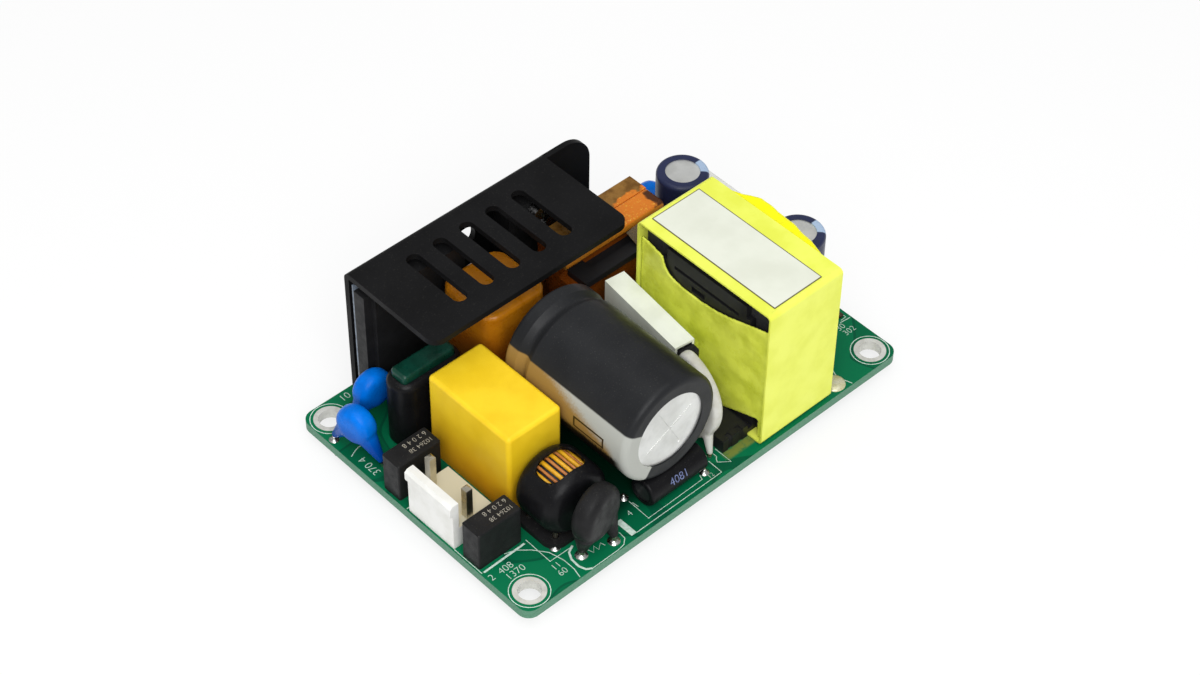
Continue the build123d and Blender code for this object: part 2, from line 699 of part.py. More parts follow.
def build_pins(pins):
    """Square header pins with chamfered tips."""
    with BuildPart() as tips:
        with BuildSketch(Plane.XY.offset(BOARD_THICKNESS)):
            with Locations(*pins):
                Rectangle(HEADER_PIN_SIZE, HEADER_PIN_SIZE)
        extrude(amount=HEADER_PIN_HEIGHT)
        chamfer(tips.faces().group_by(Axis.Z)[-1].edges(), HEADER_PIN_CHAMFER)
    return tips


# Mains input header and its two pins
input_feet = row(INPUT_PIN_X, INPUT_HEADER_Y, 2, 0, INPUT_PIN_PITCH)
input_outline = header_profile(INPUT_HEADER_OUTER_X, 1, HEADER_DEPTH)
ac_input_header = build_header(input_outline, INPUT_HEADER_Y, INPUT_HEADER_LENGTH, input_feet)
save(ac_input_header, "ac_input_header")
ac_input_pins = build_pins(input_feet)
save(ac_input_pins, "ac_input_pins")

# Output header and its pins
output_feet = row(OUTPUT_PIN_X, OUTPUT_HEADER_Y, OUTPUT_PIN_COUNT, 0, OUTPUT_PIN_PITCH)
output_outline = header_profile(OUTPUT_HEADER_OUTER_X, -1, OUTPUT_HEADER_DEPTH)
dc_output_header = build_header(output_outline, OUTPUT_HEADER_Y, OUTPUT_HEADER_LENGTH, output_feet)
save(dc_output_header, "dc_output_header")
dc_output_pins = build_pins(output_feet)
save(dc_output_pins, "dc_output_pins")


def coated_leg(head, foot, head_radius, foot_radius):
    """Tapered coating that runs down one lead, from inside the disc to its foot."""
    run = Vector(*head) - Vector(*foot)
    seat = Plane(origin=foot, z_dir=run)
    with BuildPart() as leg:
        with BuildSketch(seat):
            Circle(foot_radius)
        with BuildSketch(seat.offset(run.length)):
            Circle(head_radius)
        loft()
    return leg.part


def coated_disc(radius, thickness, edge_radius, height):
    """Dipped disc standing on edge across the Y direction at the origin."""
    with BuildPart() as disc:
        with BuildSketch(Plane.XZ):
            with Locations((0, height)):
                Circle(radius)
        extrude(amount=thickness / 2, both=True)
        fillet(disc.edges().filter_by(GeomType.CIRCLE), edge_radius)
    return disc.part


# Blue safety capacitors, two by the input and one by the output
safety_places = [
    Location((SAFETY_OUTER_X, SAFETY_OUTER_Y, 0), (0, 0, SAFETY_OUTER_TURN)),
    Location((SAFETY_INNER_X, SAFETY_INNER_Y, 0), (0, 0, SAFETY_INNER_TURN)),
    Location((SAFETY_OUTPUT_X, SAFETY_OUTPUT_Y, 0), (0, 0, SAFETY_OUTPUT_TURN)),
]
safety_disc = coated_disc(
    SAFETY_DISC_RADIUS, SAFETY_DISC_THICKNESS, SAFETY_DISC_EDGE_RADIUS, SAFETY_DISC_Z
)
safety_legs = [
    coated_leg(
        (side * SAFETY_DISC_RADIUS / 2, 0, SAFETY_DISC_Z - SAFETY_DISC_RADIUS / 3),
        (side * SAFETY_LEAD_PITCH / 2, 0, SAFETY_LEG_FOOT_Z),
        SAFETY_LEG_TOP_RADIUS,
        SAFETY_LEG_FOOT_RADIUS,
    )
    for side in (-1, 1)
]
with BuildPart() as safety_body:
    add(safety_disc)
    add(safety_legs)
with BuildPart() as safety_capacitors:
    for place in safety_places:
        add(safety_body.part.moved(place))
save(safety_capacitors, "safety_capacitors")

safety_feet = (
    disc_feet(SAFETY_OUTER_X, SAFETY_OUTER_Y, SAFETY_OUTER_TURN, SAFETY_LEAD_PITCH)
    + disc_feet(SAFETY_INNER_X, SAFETY_INNER_Y, SAFETY_INNER_TURN, SAFETY_LEAD_PITCH)
    + disc_feet(SAFETY_OUTPUT_X, SAFETY_OUTPUT_Y, SAFETY_OUTPUT_TURN, SAFETY_LEAD_PITCH)
)
with BuildPart() as safety_capacitor_leads:
    with BuildSketch(Plane.XY.offset(BOARD_THICKNESS)):
        with Locations(*safety_feet):
            Circle(FINE_WIRE_RADIUS)
    extrude(amount=SAFETY_LEG_FOOT_Z - FIT_GAP * 3 - BOARD_THICKNESS)
save(safety_capacitor_leads, "safety_capacitor_leads")

# Ring choke: a wound ring on edge, in a shrunk sleeve with an open top
ring_axis = Axis((RING_X, RING_Y, RING_Z), (0, 1, 0))
RING_CORE_GAP = RING_WIRE_RADIUS + FIT_GAP
with BuildPart() as ring_choke_core:
    with BuildSketch(Plane.XZ.offset(-RING_Y)):
        with Locations((RING_X, RING_Z)):
            Circle(RING_TURN_OUTER_RADIUS - RING_CORE_GAP)
            Circle(RING_TURN_BORE_RADIUS + RING_CORE_GAP, mode=Mode.SUBTRACT)
    extrude(amount=RING_TURN_DEPTH / 2 - RING_CORE_GAP, both=True)
    chamfer(ring_choke_core.edges().filter_by(GeomType.CIRCLE), RING_CORE_EDGE_CHAMFER)
save(ring_choke_core, "ring_choke_core")

turn_plane = Plane(origin=(RING_X, RING_Y, RING_Z), x_dir=(1, 0, 0), z_dir=(0, 0, 1))
with BuildPart() as ring_turn:
    with BuildLine(turn_plane) as turn_path:
        FilletPolyline(
            (RING_TURN_BORE_RADIUS, -RING_TURN_DEPTH / 2),
            (RING_TURN_OUTER_RADIUS, -RING_TURN_DEPTH / 2),
            (RING_TURN_OUTER_RADIUS, RING_TURN_DEPTH / 2),
            (RING_TURN_BORE_RADIUS, RING_TURN_DEPTH / 2),
            radius=RING_WIRE_BEND_RADIUS,
            close=True,
        )
    with BuildSketch(Plane(origin=turn_path.line @ 0, z_dir=turn_path.line % 0)):
        Circle(RING_WIRE_RADIUS)
    sweep(path=turn_path.line)
with BuildPart() as ring_choke_winding:
    for turn in range(RING_TURN_COUNT):
        add(ring_turn.part.rotate(ring_axis, turn * 360 / RING_TURN_COUNT))
save(ring_choke_winding, "ring_choke_winding")

ring_plane = Plane(origin=(RING_X, RING_Y, RING_Z), x_dir=(0, 1, 0), z_dir=(1, 0, 0))
ring_half_depth = RING_SLEEVE_DEPTH / 2
ring_inner_half_depth = ring_half_depth - RING_SLEEVE_THICKNESS
ring_inner_radius = RING_SLEEVE_RADIUS - RING_SLEEVE_THICKNESS
ring_inner_edge_radius = RING_SLEEVE_EDGE_RADIUS - RING_SLEEVE_THICKNESS
with BuildPart() as ring_choke_sleeve:
    ring_sleeve_outline = turned_profile(
        ring_plane,
        [
            (-ring_half_depth, 0),
            (-ring_half_depth, RING_SLEEVE_RADIUS),
            (ring_half_depth, RING_SLEEVE_RADIUS),
            (ring_half_depth, 0),
            (ring_inner_half_depth, 0),
            (ring_inner_half_depth, ring_inner_radius),
            (-ring_inner_half_depth, ring_inner_radius),
            (-ring_inner_half_depth, 0),
        ],
        (
            0,
            RING_SLEEVE_EDGE_RADIUS,
            RING_SLEEVE_EDGE_RADIUS,
            0,
            0,
            ring_inner_edge_radius,
            ring_inner_edge_radius,
            0,
        ),
    )
    revolve(ring_sleeve_outline, axis=ring_axis)
    with BuildSketch(Plane.XY.offset(RING_WINDOW_Z)):
        with Locations((RING_X, RING_Y)):
            RectangleRounded(RING_WINDOW_LENGTH, RING_WINDOW_WIDTH, RING_WINDOW_CORNER_RADIUS)
    extrude(amount=RING_SLEEVE_RADIUS, mode=Mode.SUBTRACT)
    with BuildSketch(Plane.XY):
        with Locations((RING_X, RING_Y)):
            Rectangle(RING_SLEEVE_RADIUS * 2, RING_SLEEVE_DEPTH * 2)
    extrude(amount=RING_SLEEVE_FOOT_Z, mode=Mode.SUBTRACT)
save(ring_choke_sleeve, "ring_choke_sleeve")

ring_feet = pair(RING_X, RING_Y, RING_LEAD_SPAN_X, RING_LEAD_SPAN_Y) + pair(
    RING_X, RING_Y, -RING_LEAD_SPAN_X, RING_LEAD_SPAN_Y
)
RING_WOUND_RADIUS = RING_TURN_OUTER_RADIUS + RING_WIRE_RADIUS
RING_LEAD_INNER_X = RING_LEAD_SPAN_X / 2 - LEAD_RADIUS
RING_LEAD_TOP_Z = RING_Z - math.sqrt(RING_WOUND_RADIUS**2 - RING_LEAD_INNER_X**2)
with BuildPart() as ring_choke_leads:
    with BuildSketch(Plane.XY.offset(BOARD_THICKNESS)):
        with Locations(*ring_feet):
            Circle(LEAD_RADIUS)
    extrude(amount=RING_LEAD_TOP_Z - FIT_GAP - BOARD_THICKNESS)
save(ring_choke_leads, "ring_choke_leads")

with BuildPart() as ring_choke_base:
    with BuildSketch(Plane.XY.offset(BOARD_THICKNESS)):
        with Locations((RING_X, RING_Y)):
            RectangleRounded(RING_BASE_LENGTH, RING_BASE_WIDTH, RING_BASE_CORNER_RADIUS)
        with Locations(*ring_feet):
            Circle(LEAD_RADIUS + FIT_GAP, mode=Mode.SUBTRACT)
    extrude(amount=RING_BASE_HEIGHT)
save(ring_choke_base, "ring_choke_base")

# Green bar choke in its shrunk sleeve
with BuildPart() as bar_choke_core:
    with BuildSketch(Plane.XY.offset(BAR_FOOT_Z)):
        with Locations((BAR_X, BAR_Y)):
            RectangleRounded(BAR_LENGTH, BAR_WIDTH, BAR_EDGE_RADIUS)
    extrude(amount=BAR_TOP_Z - BAR_FOOT_Z)
    fillet(bar_choke_core.faces().sort_by(Axis.Z)[-1].edges(), BAR_EDGE_RADIUS * 0.8)
save(bar_choke_core, "bar_choke_core")

with BuildPart() as bar_choke_sleeve:
    with BuildSketch(Plane.XY.offset(BAR_SLEEVE_FOOT_Z)):
        with Locations((BAR_X, BAR_Y)):
            RectangleRounded(BAR_SLEEVE_LENGTH, BAR_SLEEVE_WIDTH, BAR_SLEEVE_CORNER_RADIUS)
    extrude(amount=BAR_SLEEVE_TOP_Z - BAR_SLEEVE_FOOT_Z)
    fillet(bar_choke_sleeve.faces().sort_by(Axis.Z)[-1].edges(), BAR_SLEEVE_SHOULDER_RADIUS)
    with BuildSketch(Plane.XY.offset(BAR_SLEEVE_FOOT_Z)):
        with Locations((BAR_X, BAR_Y)):
            RectangleRounded(
                BAR_SLEEVE_LENGTH - 2 * BAR_SLEEVE_THICKNESS,
                BAR_SLEEVE_WIDTH - 2 * BAR_SLEEVE_THICKNESS,
                BAR_SLEEVE_CORNER_RADIUS - BAR_SLEEVE_THICKNESS,
            )
    extrude(
        amount=BAR_SLEEVE_TOP_Z - BAR_SLEEVE_LIP_HEIGHT - BAR_SLEEVE_FOOT_Z,
        mode=Mode.SUBTRACT,
    )
    with BuildSketch(Plane.XY.offset(BAR_SLEEVE_FOOT_Z)):
        with Locations((BAR_X, BAR_Y)):
            RectangleRounded(
                BAR_LENGTH + 2 * FIT_GAP, BAR_WIDTH + 2 * FIT_GAP, BAR_EDGE_RADIUS + FIT_GAP
            )
    extrude(amount=BAR_TOP_Z, mode=Mode.SUBTRACT)
save(bar_choke_sleeve, "bar_choke_sleeve")

bar_feet = pair(BAR_X, BAR_Y, BAR_LEAD_SPAN, 0)
with BuildPart() as bar_choke_leads:
    with BuildSketch(Plane.XY.offset(BOARD_THICKNESS)):
        with Locations(*bar_feet):
            Circle(LEAD_RADIUS)
    extrude(amount=BAR_FOOT_Z - BOARD_THICKNESS)
save(bar_choke_leads, "bar_choke_leads")

# Black inrush thermistor with coated legs
ntc_place = Location((NTC_X, NTC_Y, 0), (0, 0, NTC_TURN))
ntc_disc = coated_disc(NTC_RADIUS, NTC_THICKNESS, NTC_EDGE_RADIUS, NTC_Z)
ntc_left_foot = (NTC_LEFT_FOOT_X, NTC_LEFT_FOOT_Y)
ntc_right_foot = (NTC_RIGHT_FOOT_X, NTC_RIGHT_FOOT_Y)
ntc_legs = [
    coated_leg(
        (NTC_X + side * NTC_RADIUS / 2, NTC_Y, NTC_Z - NTC_RADIUS / 2),
        (*foot, NTC_LEG_FOOT_Z),
        NTC_LEG_TOP_RADIUS,
        NTC_LEG_FOOT_RADIUS,
    )
    for side, foot in ((-1, ntc_left_foot), (1, ntc_right_foot))
]
with BuildPart() as inrush_thermistor:
    add(ntc_disc.moved(ntc_place))
    add(ntc_legs)
save(inrush_thermistor, "inrush_thermistor")

with BuildPart() as inrush_thermistor_leads:
    with BuildSketch(Plane.XY.offset(BOARD_THICKNESS)):
        with Locations(ntc_left_foot, ntc_right_foot):
            Circle(LEAD_RADIUS)
    extrude(amount=NTC_LEG_FOOT_Z - FIT_GAP * 3 - BOARD_THICKNESS)
save(inrush_thermistor_leads, "inrush_thermistor_leads")

# Storage capacitor: can with a crimp groove and a cross vent, in a rolled sleeve
bulk_plane = Plane(origin=(BULK_X, BULK_END_Y, BULK_Z), x_dir=(0, 1, 0), z_dir=(1, 0, 0))
bulk_axis = Axis((BULK_X, BULK_END_Y, BULK_Z), (0, 1, 0))
GROOVE_START = BULK_GROOVE_PLACE - BULK_GROOVE_WIDTH / 2
GROOVE_END = BULK_GROOVE_PLACE + BULK_GROOVE_WIDTH / 2
CAN_FRONT = BULK_SLEEVE_THICKNESS
CAN_REAR = BULK_LENGTH - BULK_SLEEVE_THICKNESS
with BuildPart() as storage_capacitor_can:
    can_outline = turned_profile(
        bulk_plane,
        [
            (CAN_FRONT, 0),
            (CAN_FRONT, BULK_CAN_RADIUS),
            (GROOVE_START, BULK_CAN_RADIUS),
            (BULK_GROOVE_PLACE, BULK_CAN_RADIUS - BULK_GROOVE_DEPTH),
            (GROOVE_END, BULK_CAN_RADIUS),
            (CAN_REAR, BULK_CAN_RADIUS),
            (CAN_REAR, BULK_BUNG_RADIUS),
            (CAN_REAR - BULK_BUNG_DEPTH, BULK_BUNG_RADIUS),
            (CAN_REAR - BULK_BUNG_DEPTH, 0),
        ],
        (0, BULK_SLEEVE_CORNER_RADIUS - FIT_GAP, 0, 0.8, 0, 0.6, 0, 0, 0),
    )
    revolve(can_outline, axis=bulk_axis)
    with BuildSketch(Plane.XZ.offset(-BULK_END_Y - BULK_SLEEVE_THICKNESS)):
        with Locations((BULK_X, BULK_Z)):
            Rectangle(BULK_VENT_LENGTH, BULK_VENT_WIDTH, rotation=BULK_VENT_TURN)
            Rectangle(BULK_VENT_LENGTH, BULK_VENT_WIDTH, rotation=BULK_VENT_TURN + 90)
    extrude(amount=-BULK_VENT_DEPTH, mode=Mode.SUBTRACT)
save(storage_capacitor_can, "storage_capacitor_can")

with BuildPart() as storage_capacitor_sleeve:
    inner_radius = BULK_SLEEVE_RADIUS - BULK_SLEEVE_THICKNESS
    sleeve_outline = turned_profile(
        bulk_plane,
        [
            (0, BULK_SLEEVE_LIP_RADIUS),
            (0, BULK_SLEEVE_RADIUS),
            (GROOVE_START, BULK_SLEEVE_RADIUS),
            (BULK_GROOVE_PLACE, BULK_SLEEVE_RADIUS - BULK_GROOVE_DEPTH),
            (GROOVE_END, BULK_SLEEVE_RADIUS),
            (BULK_LENGTH, BULK_SLEEVE_RADIUS),
            (BULK_LENGTH, BULK_REAR_LIP_RADIUS),
            (CAN_REAR, BULK_REAR_LIP_RADIUS),
            (CAN_REAR, inner_radius),
            (GROOVE_END, inner_radius),
            (BULK_GROOVE_PLACE, inner_radius - BULK_GROOVE_DEPTH),
            (GROOVE_START, inner_radius),
            (CAN_FRONT, inner_radius),
            (CAN_FRONT, BULK_SLEEVE_LIP_RADIUS),
        ],
        (0, BULK_SLEEVE_CORNER_RADIUS, 0, 0.8, 0, 0.8, 0, 0, 0.5, 0, 0.8, 0, 0.8, 0),
    )
    revolve(sleeve_outline, axis=bulk_axis)
save(storage_capacitor_sleeve, "storage_capacitor_sleeve")

BUNG_FRONT_Y = BULK_END_Y + CAN_REAR - BULK_BUNG_DEPTH
BUNG_REAR_Y = BULK_END_Y + CAN_REAR
with BuildPart() as storage_capacitor_bung:
    with BuildSketch(Plane.XZ.offset(-BUNG_FRONT_Y)):
        with Locations((BULK_X, BULK_Z)):
            Circle(BULK_BUNG_RADIUS - FIT_GAP)
    extrude(amount=-BULK_BUNG_DEPTH)
save(storage_capacitor_bung, "storage_capacitor_bung")


def bent_lead(route, bend_radius, wire_radius):
    """Round lead that leaves a face, bends once and runs down to the board."""
    with BuildPart() as lead:
        with BuildLine() as path:
            FilletPolyline(*route, radius=bend_radius)
        with BuildSketch(Plane(origin=path.line @ 0, z_dir=path.line % 0)):
            Circle(wire_radius)
        sweep()
    return lead.part


bulk_feet = row(BULK_X, BUNG_REAR_Y + BULK_LEAD_REACH, 2, BULK_LEAD_PITCH, 0)
bulk_wires = [
    bent_lead(
        [
            (foot_x, BUNG_REAR_Y, BULK_Z),
            (foot_x, foot_y, BULK_Z),
            (foot_x, foot_y, BOARD_THICKNESS),
        ],
        BULK_LEAD_BEND_RADIUS,
        LEAD_RADIUS,
    )
    for foot_x, foot_y in bulk_feet
]
with BuildPart() as storage_capacitor_leads:
    add(bulk_wires)
save(storage_capacitor_leads, "storage_capacitor_leads")

# Small control capacitor lying across the front, its leads towards the transformer
SMALL_CAP_Z = BOARD_THICKNESS + SMALL_CAP_RADIUS
SMALL_CAN_RADIUS = SMALL_CAP_RADIUS - SMALL_CAP_SLEEVE_THICKNESS - FIT_GAP
SMALL_CAP_RIGHT_X = SMALL_CAP_LEFT_X + SMALL_CAP_LENGTH
small_plane = Plane(
    origin=(SMALL_CAP_LEFT_X, SMALL_CAP_Y, SMALL_CAP_Z), x_dir=(1, 0, 0), z_dir=(0, -1, 0)
)
small_axis = Axis((SMALL_CAP_LEFT_X, SMALL_CAP_Y, SMALL_CAP_Z), (1, 0, 0))
with BuildPart() as control_capacitor_can:
    small_can_outline = turned_profile(
        small_plane,
        [
            (SMALL_CAP_SLEEVE_THICKNESS, 0),
            (SMALL_CAP_SLEEVE_THICKNESS, SMALL_CAN_RADIUS),
            (SMALL_CAP_LENGTH, SMALL_CAN_RADIUS),
            (SMALL_CAP_LENGTH, 0),
        ],
        (0, SMALL_CAP_CORNER_RADIUS - FIT_GAP, 0, 0),
    )
    revolve(small_can_outline, axis=small_axis)
save(control_capacitor_can, "control_capacitor_can")

with BuildPart() as control_capacitor_sleeve:
    small_inner = SMALL_CAP_RADIUS - SMALL_CAP_SLEEVE_THICKNESS
    small_sleeve_outline = turned_profile(
        small_plane,
        [
            (0, SMALL_CAP_LIP_RADIUS),
            (0, SMALL_CAP_RADIUS),
            (SMALL_CAP_LENGTH, SMALL_CAP_RADIUS),
            (SMALL_CAP_LENGTH, small_inner),
            (SMALL_CAP_SLEEVE_THICKNESS, small_inner),
            (SMALL_CAP_SLEEVE_THICKNESS, SMALL_CAP_LIP_RADIUS),
        ],
        (0, SMALL_CAP_CORNER_RADIUS, 0, 0, SMALL_CAP_CORNER_RADIUS - FIT_GAP, 0),
    )
    revolve(small_sleeve_outline, axis=small_axis)
save(control_capacitor_sleeve, "control_capacitor_sleeve")

small_feet = row(
    SMALL_CAP_RIGHT_X + SMALL_CAP_LEAD_REACH, SMALL_CAP_Y, 2, 0, SMALL_CAP_LEAD_PITCH
)
small_wires = [
    bent_lead(
        [
            (SMALL_CAP_RIGHT_X, foot_y, SMALL_CAP_Z),
            (foot_x, foot_y, SMALL_CAP_Z),
            (foot_x, foot_y, BOARD_THICKNESS),
        ],
        SMALL_CAP_LEAD_BEND_RADIUS,
        FINE_WIRE_RADIUS,
    )
    for foot_x, foot_y in small_feet
]
with BuildPart() as control_capacitor_leads:
    add(small_wires)
save(control_capacitor_leads, "control_capacitor_leads")

# White coated thermistor: a flat-backed disc with two coated legs
WHITE_DISC_LEFT_X = WHITE_DISC_X - WHITE_DISC_THICKNESS / 2
white_feet = [(WHITE_LEG_X, WHITE_FRONT_LEG_Y), (WHITE_LEG_X, WHITE_REAR_LEG_Y)]
with BuildPart() as white_disc:
    with BuildSketch(Plane.YZ.offset(WHITE_DISC_LEFT_X)) as white_outline:
        with Locations((WHITE_DISC_Y, WHITE_DISC_Z)):
            Circle(WHITE_DISC_RADIUS)
        with Locations((WHITE_DISC_BACK_Y + WHITE_DISC_RADIUS, WHITE_DISC_Z)):
            Rectangle(WHITE_DISC_RADIUS * 2, WHITE_DISC_RADIUS * 2 + 1, mode=Mode.SUBTRACT)
        fillet(white_outline.vertices(), WHITE_DISC_CORNER_RADIUS)
    extrude(amount=WHITE_DISC_THICKNESS)
    fillet(
        white_disc.faces().group_by(Axis.X)[0].edges()
        + white_disc.faces().group_by(Axis.X)[-1].edges(),
        WHITE_DISC_EDGE_RADIUS,
    )
white_legs = [
    coated_leg(
        (WHITE_DISC_X, foot_y + lean, WHITE_DISC_Z - WHITE_DISC_RADIUS / 2),
        (foot_x, foot_y, WHITE_LEG_FOOT_Z),
        WHITE_LEG_TOP_RADIUS,
        WHITE_LEG_FOOT_RADIUS,
    )
    for (foot_x, foot_y), lean in zip(white_feet, (1.6, 0.0))
]
with BuildPart() as sleeved_thermistor:
    add(white_disc.part)
    add(white_legs)
save(sleeved_thermistor, "sleeved_thermistor")

with BuildPart() as sleeved_thermistor_leads:
    with BuildSketch(Plane.XY.offset(BOARD_THICKNESS)):
        with Locations(*white_feet):
            Circle(FINE_WIRE_RADIUS)
    extrude(amount=WHITE_LEG_FOOT_Z - FIT_GAP * 3 - BOARD_THICKNESS)
save(sleeved_thermistor_leads, "sleeved_thermistor_leads")

# Upright plate and the white cover folded over its top
plate_place = Plane(
    Location((PLATE_X, PLATE_Y, BOARD_THICKNESS), (0, 0, PLATE_TURN))
)
PLATE_HEIGHT = PLATE_TOP_Z - BOARD_THICKNESS
with BuildPart() as upright_plate:
    with BuildSketch(plate_place):
        Rectangle(PLATE_THICKNESS, PLATE_LENGTH)
    extrude(amount=PLATE_HEIGHT)
save(upright_plate, "upright_plate")

with BuildPart() as plate_cover:
    with BuildSketch(plate_place.offset(PLATE_COVER_FOOT_Z - BOARD_THICKNESS)):
        Rectangle(PLATE_THICKNESS + 2 * PLATE_COVER_THICKNESS, PLATE_LENGTH)
    extrude(amount=PLATE_TOP_Z + PLATE_COVER_THICKNESS - PLATE_COVER_FOOT_Z)
    with BuildSketch(plate_place.offset(PLATE_COVER_FOOT_Z - BOARD_THICKNESS)):
        Rectangle(PLATE_THICKNESS, PLATE_LENGTH)
    extrude(amount=PLATE_TOP_Z - PLATE_COVER_FOOT_Z, mode=Mode.SUBTRACT)
save(plate_cover, "plate_cover")

# Transformer outer tape: a band wound round the core
TRAFO_LEFT_X = TRAFO_X - TRAFO_BAND_WIDTH / 2
TRAFO_RIGHT_X = TRAFO_X + TRAFO_BAND_WIDTH / 2
TRAFO_FRONT_Y = TRAFO_Y - TRAFO_LENGTH / 2
TRAFO_REAR_Y = TRAFO_Y + TRAFO_LENGTH / 2
TRAFO_HEIGHT = TRAFO_TOP_Z - TRAFO_FOOT_Z
TRAFO_MIDDLE_Z = (TRAFO_TOP_Z + TRAFO_FOOT_Z) / 2
CORE_LENGTH = TRAFO_LENGTH - 2 * FILM_THICKNESS
CORE_HEIGHT = TRAFO_HEIGHT - 2 * FILM_THICKNESS
with BuildPart() as transformer_band:
    with BuildSketch(Plane.YZ.offset(TRAFO_LEFT_X)):
        with Locations((TRAFO_Y, TRAFO_MIDDLE_Z)):
            RectangleRounded(TRAFO_LENGTH, TRAFO_HEIGHT, TRAFO_BAND_EDGE_RADIUS)
            RectangleRounded(
                CORE_LENGTH,
                CORE_HEIGHT,
                TRAFO_BAND_EDGE_RADIUS - FILM_THICKNESS,
                mode=Mode.SUBTRACT,
            )
    extrude(amount=TRAFO_BAND_WIDTH)
save(transformer_band, "transformer_band")

# Transformer core: two E halves that meet at mid height
WINDOW_LENGTH = (CORE_LENGTH - TRAFO_CENTRE_LEG) / 2 - TRAFO_CORE_LEG
WINDOW_HEIGHT = CORE_HEIGHT - 2 * TRAFO_CORE_YOKE
WINDOW_OFFSET = (TRAFO_CENTRE_LEG + WINDOW_LENGTH) / 2
with BuildPart() as transformer_core:
    with BuildSketch(Plane.YZ.offset(TRAFO_X)):
        with Locations((TRAFO_Y, TRAFO_MIDDLE_Z)):
            RectangleRounded(
                CORE_LENGTH, CORE_HEIGHT, TRAFO_BAND_EDGE_RADIUS - FILM_THICKNESS
            )
        with Locations(
            (TRAFO_Y - WINDOW_OFFSET, TRAFO_MIDDLE_Z), (TRAFO_Y + WINDOW_OFFSET, TRAFO_MIDDLE_Z)
        ):
            Rectangle(WINDOW_LENGTH, WINDOW_HEIGHT, mode=Mode.SUBTRACT)
    extrude(amount=TRAFO_CORE_DEPTH / 2, both=True)
save(transformer_core, "transformer_core")

# Transformer bobbin: a tube round the centre leg, two flanges and a pin rail
TUBE_LENGTH = TRAFO_CENTRE_LEG + 2 * (TRAFO_BOBBIN_WALL + FIT_GAP)
TUBE_DEPTH = TRAFO_CORE_DEPTH + 2 * (TRAFO_BOBBIN_WALL + FIT_GAP)
FLANGE_LENGTH_Y = TRAFO_CENTRE_LEG + 2 * WINDOW_LENGTH - 2 * FIT_GAP
WINDOW_FOOT_Z = TRAFO_MIDDLE_Z - WINDOW_HEIGHT / 2
WINDOW_TOP_Z = TRAFO_MIDDLE_Z + WINDOW_HEIGHT / 2
WINDING_FOOT_Z = WINDOW_FOOT_Z + TRAFO_FLANGE_THICKNESS
WINDING_TOP_Z = WINDOW_TOP_Z - TRAFO_TOP_FLANGE_THICKNESS
TOP_NOTCH_REAR_Y = TRAFO_Y + TRAFO_TOP_RAIL_LENGTH / 2 - TRAFO_TOP_NOTCH_SETBACK
RAIL_LEFT_X = TRAFO_LEFT_X - TRAFO_RAIL_REACH
RAIL_MIDDLE_X = (RAIL_LEFT_X + TRAFO_LEFT_X) / 2
CORE_LEFT_X = TRAFO_X - TRAFO_CORE_DEPTH / 2
LINK_FOOT_Z = TRAFO_FOOT_Z + FILM_THICKNESS + FIT_GAP
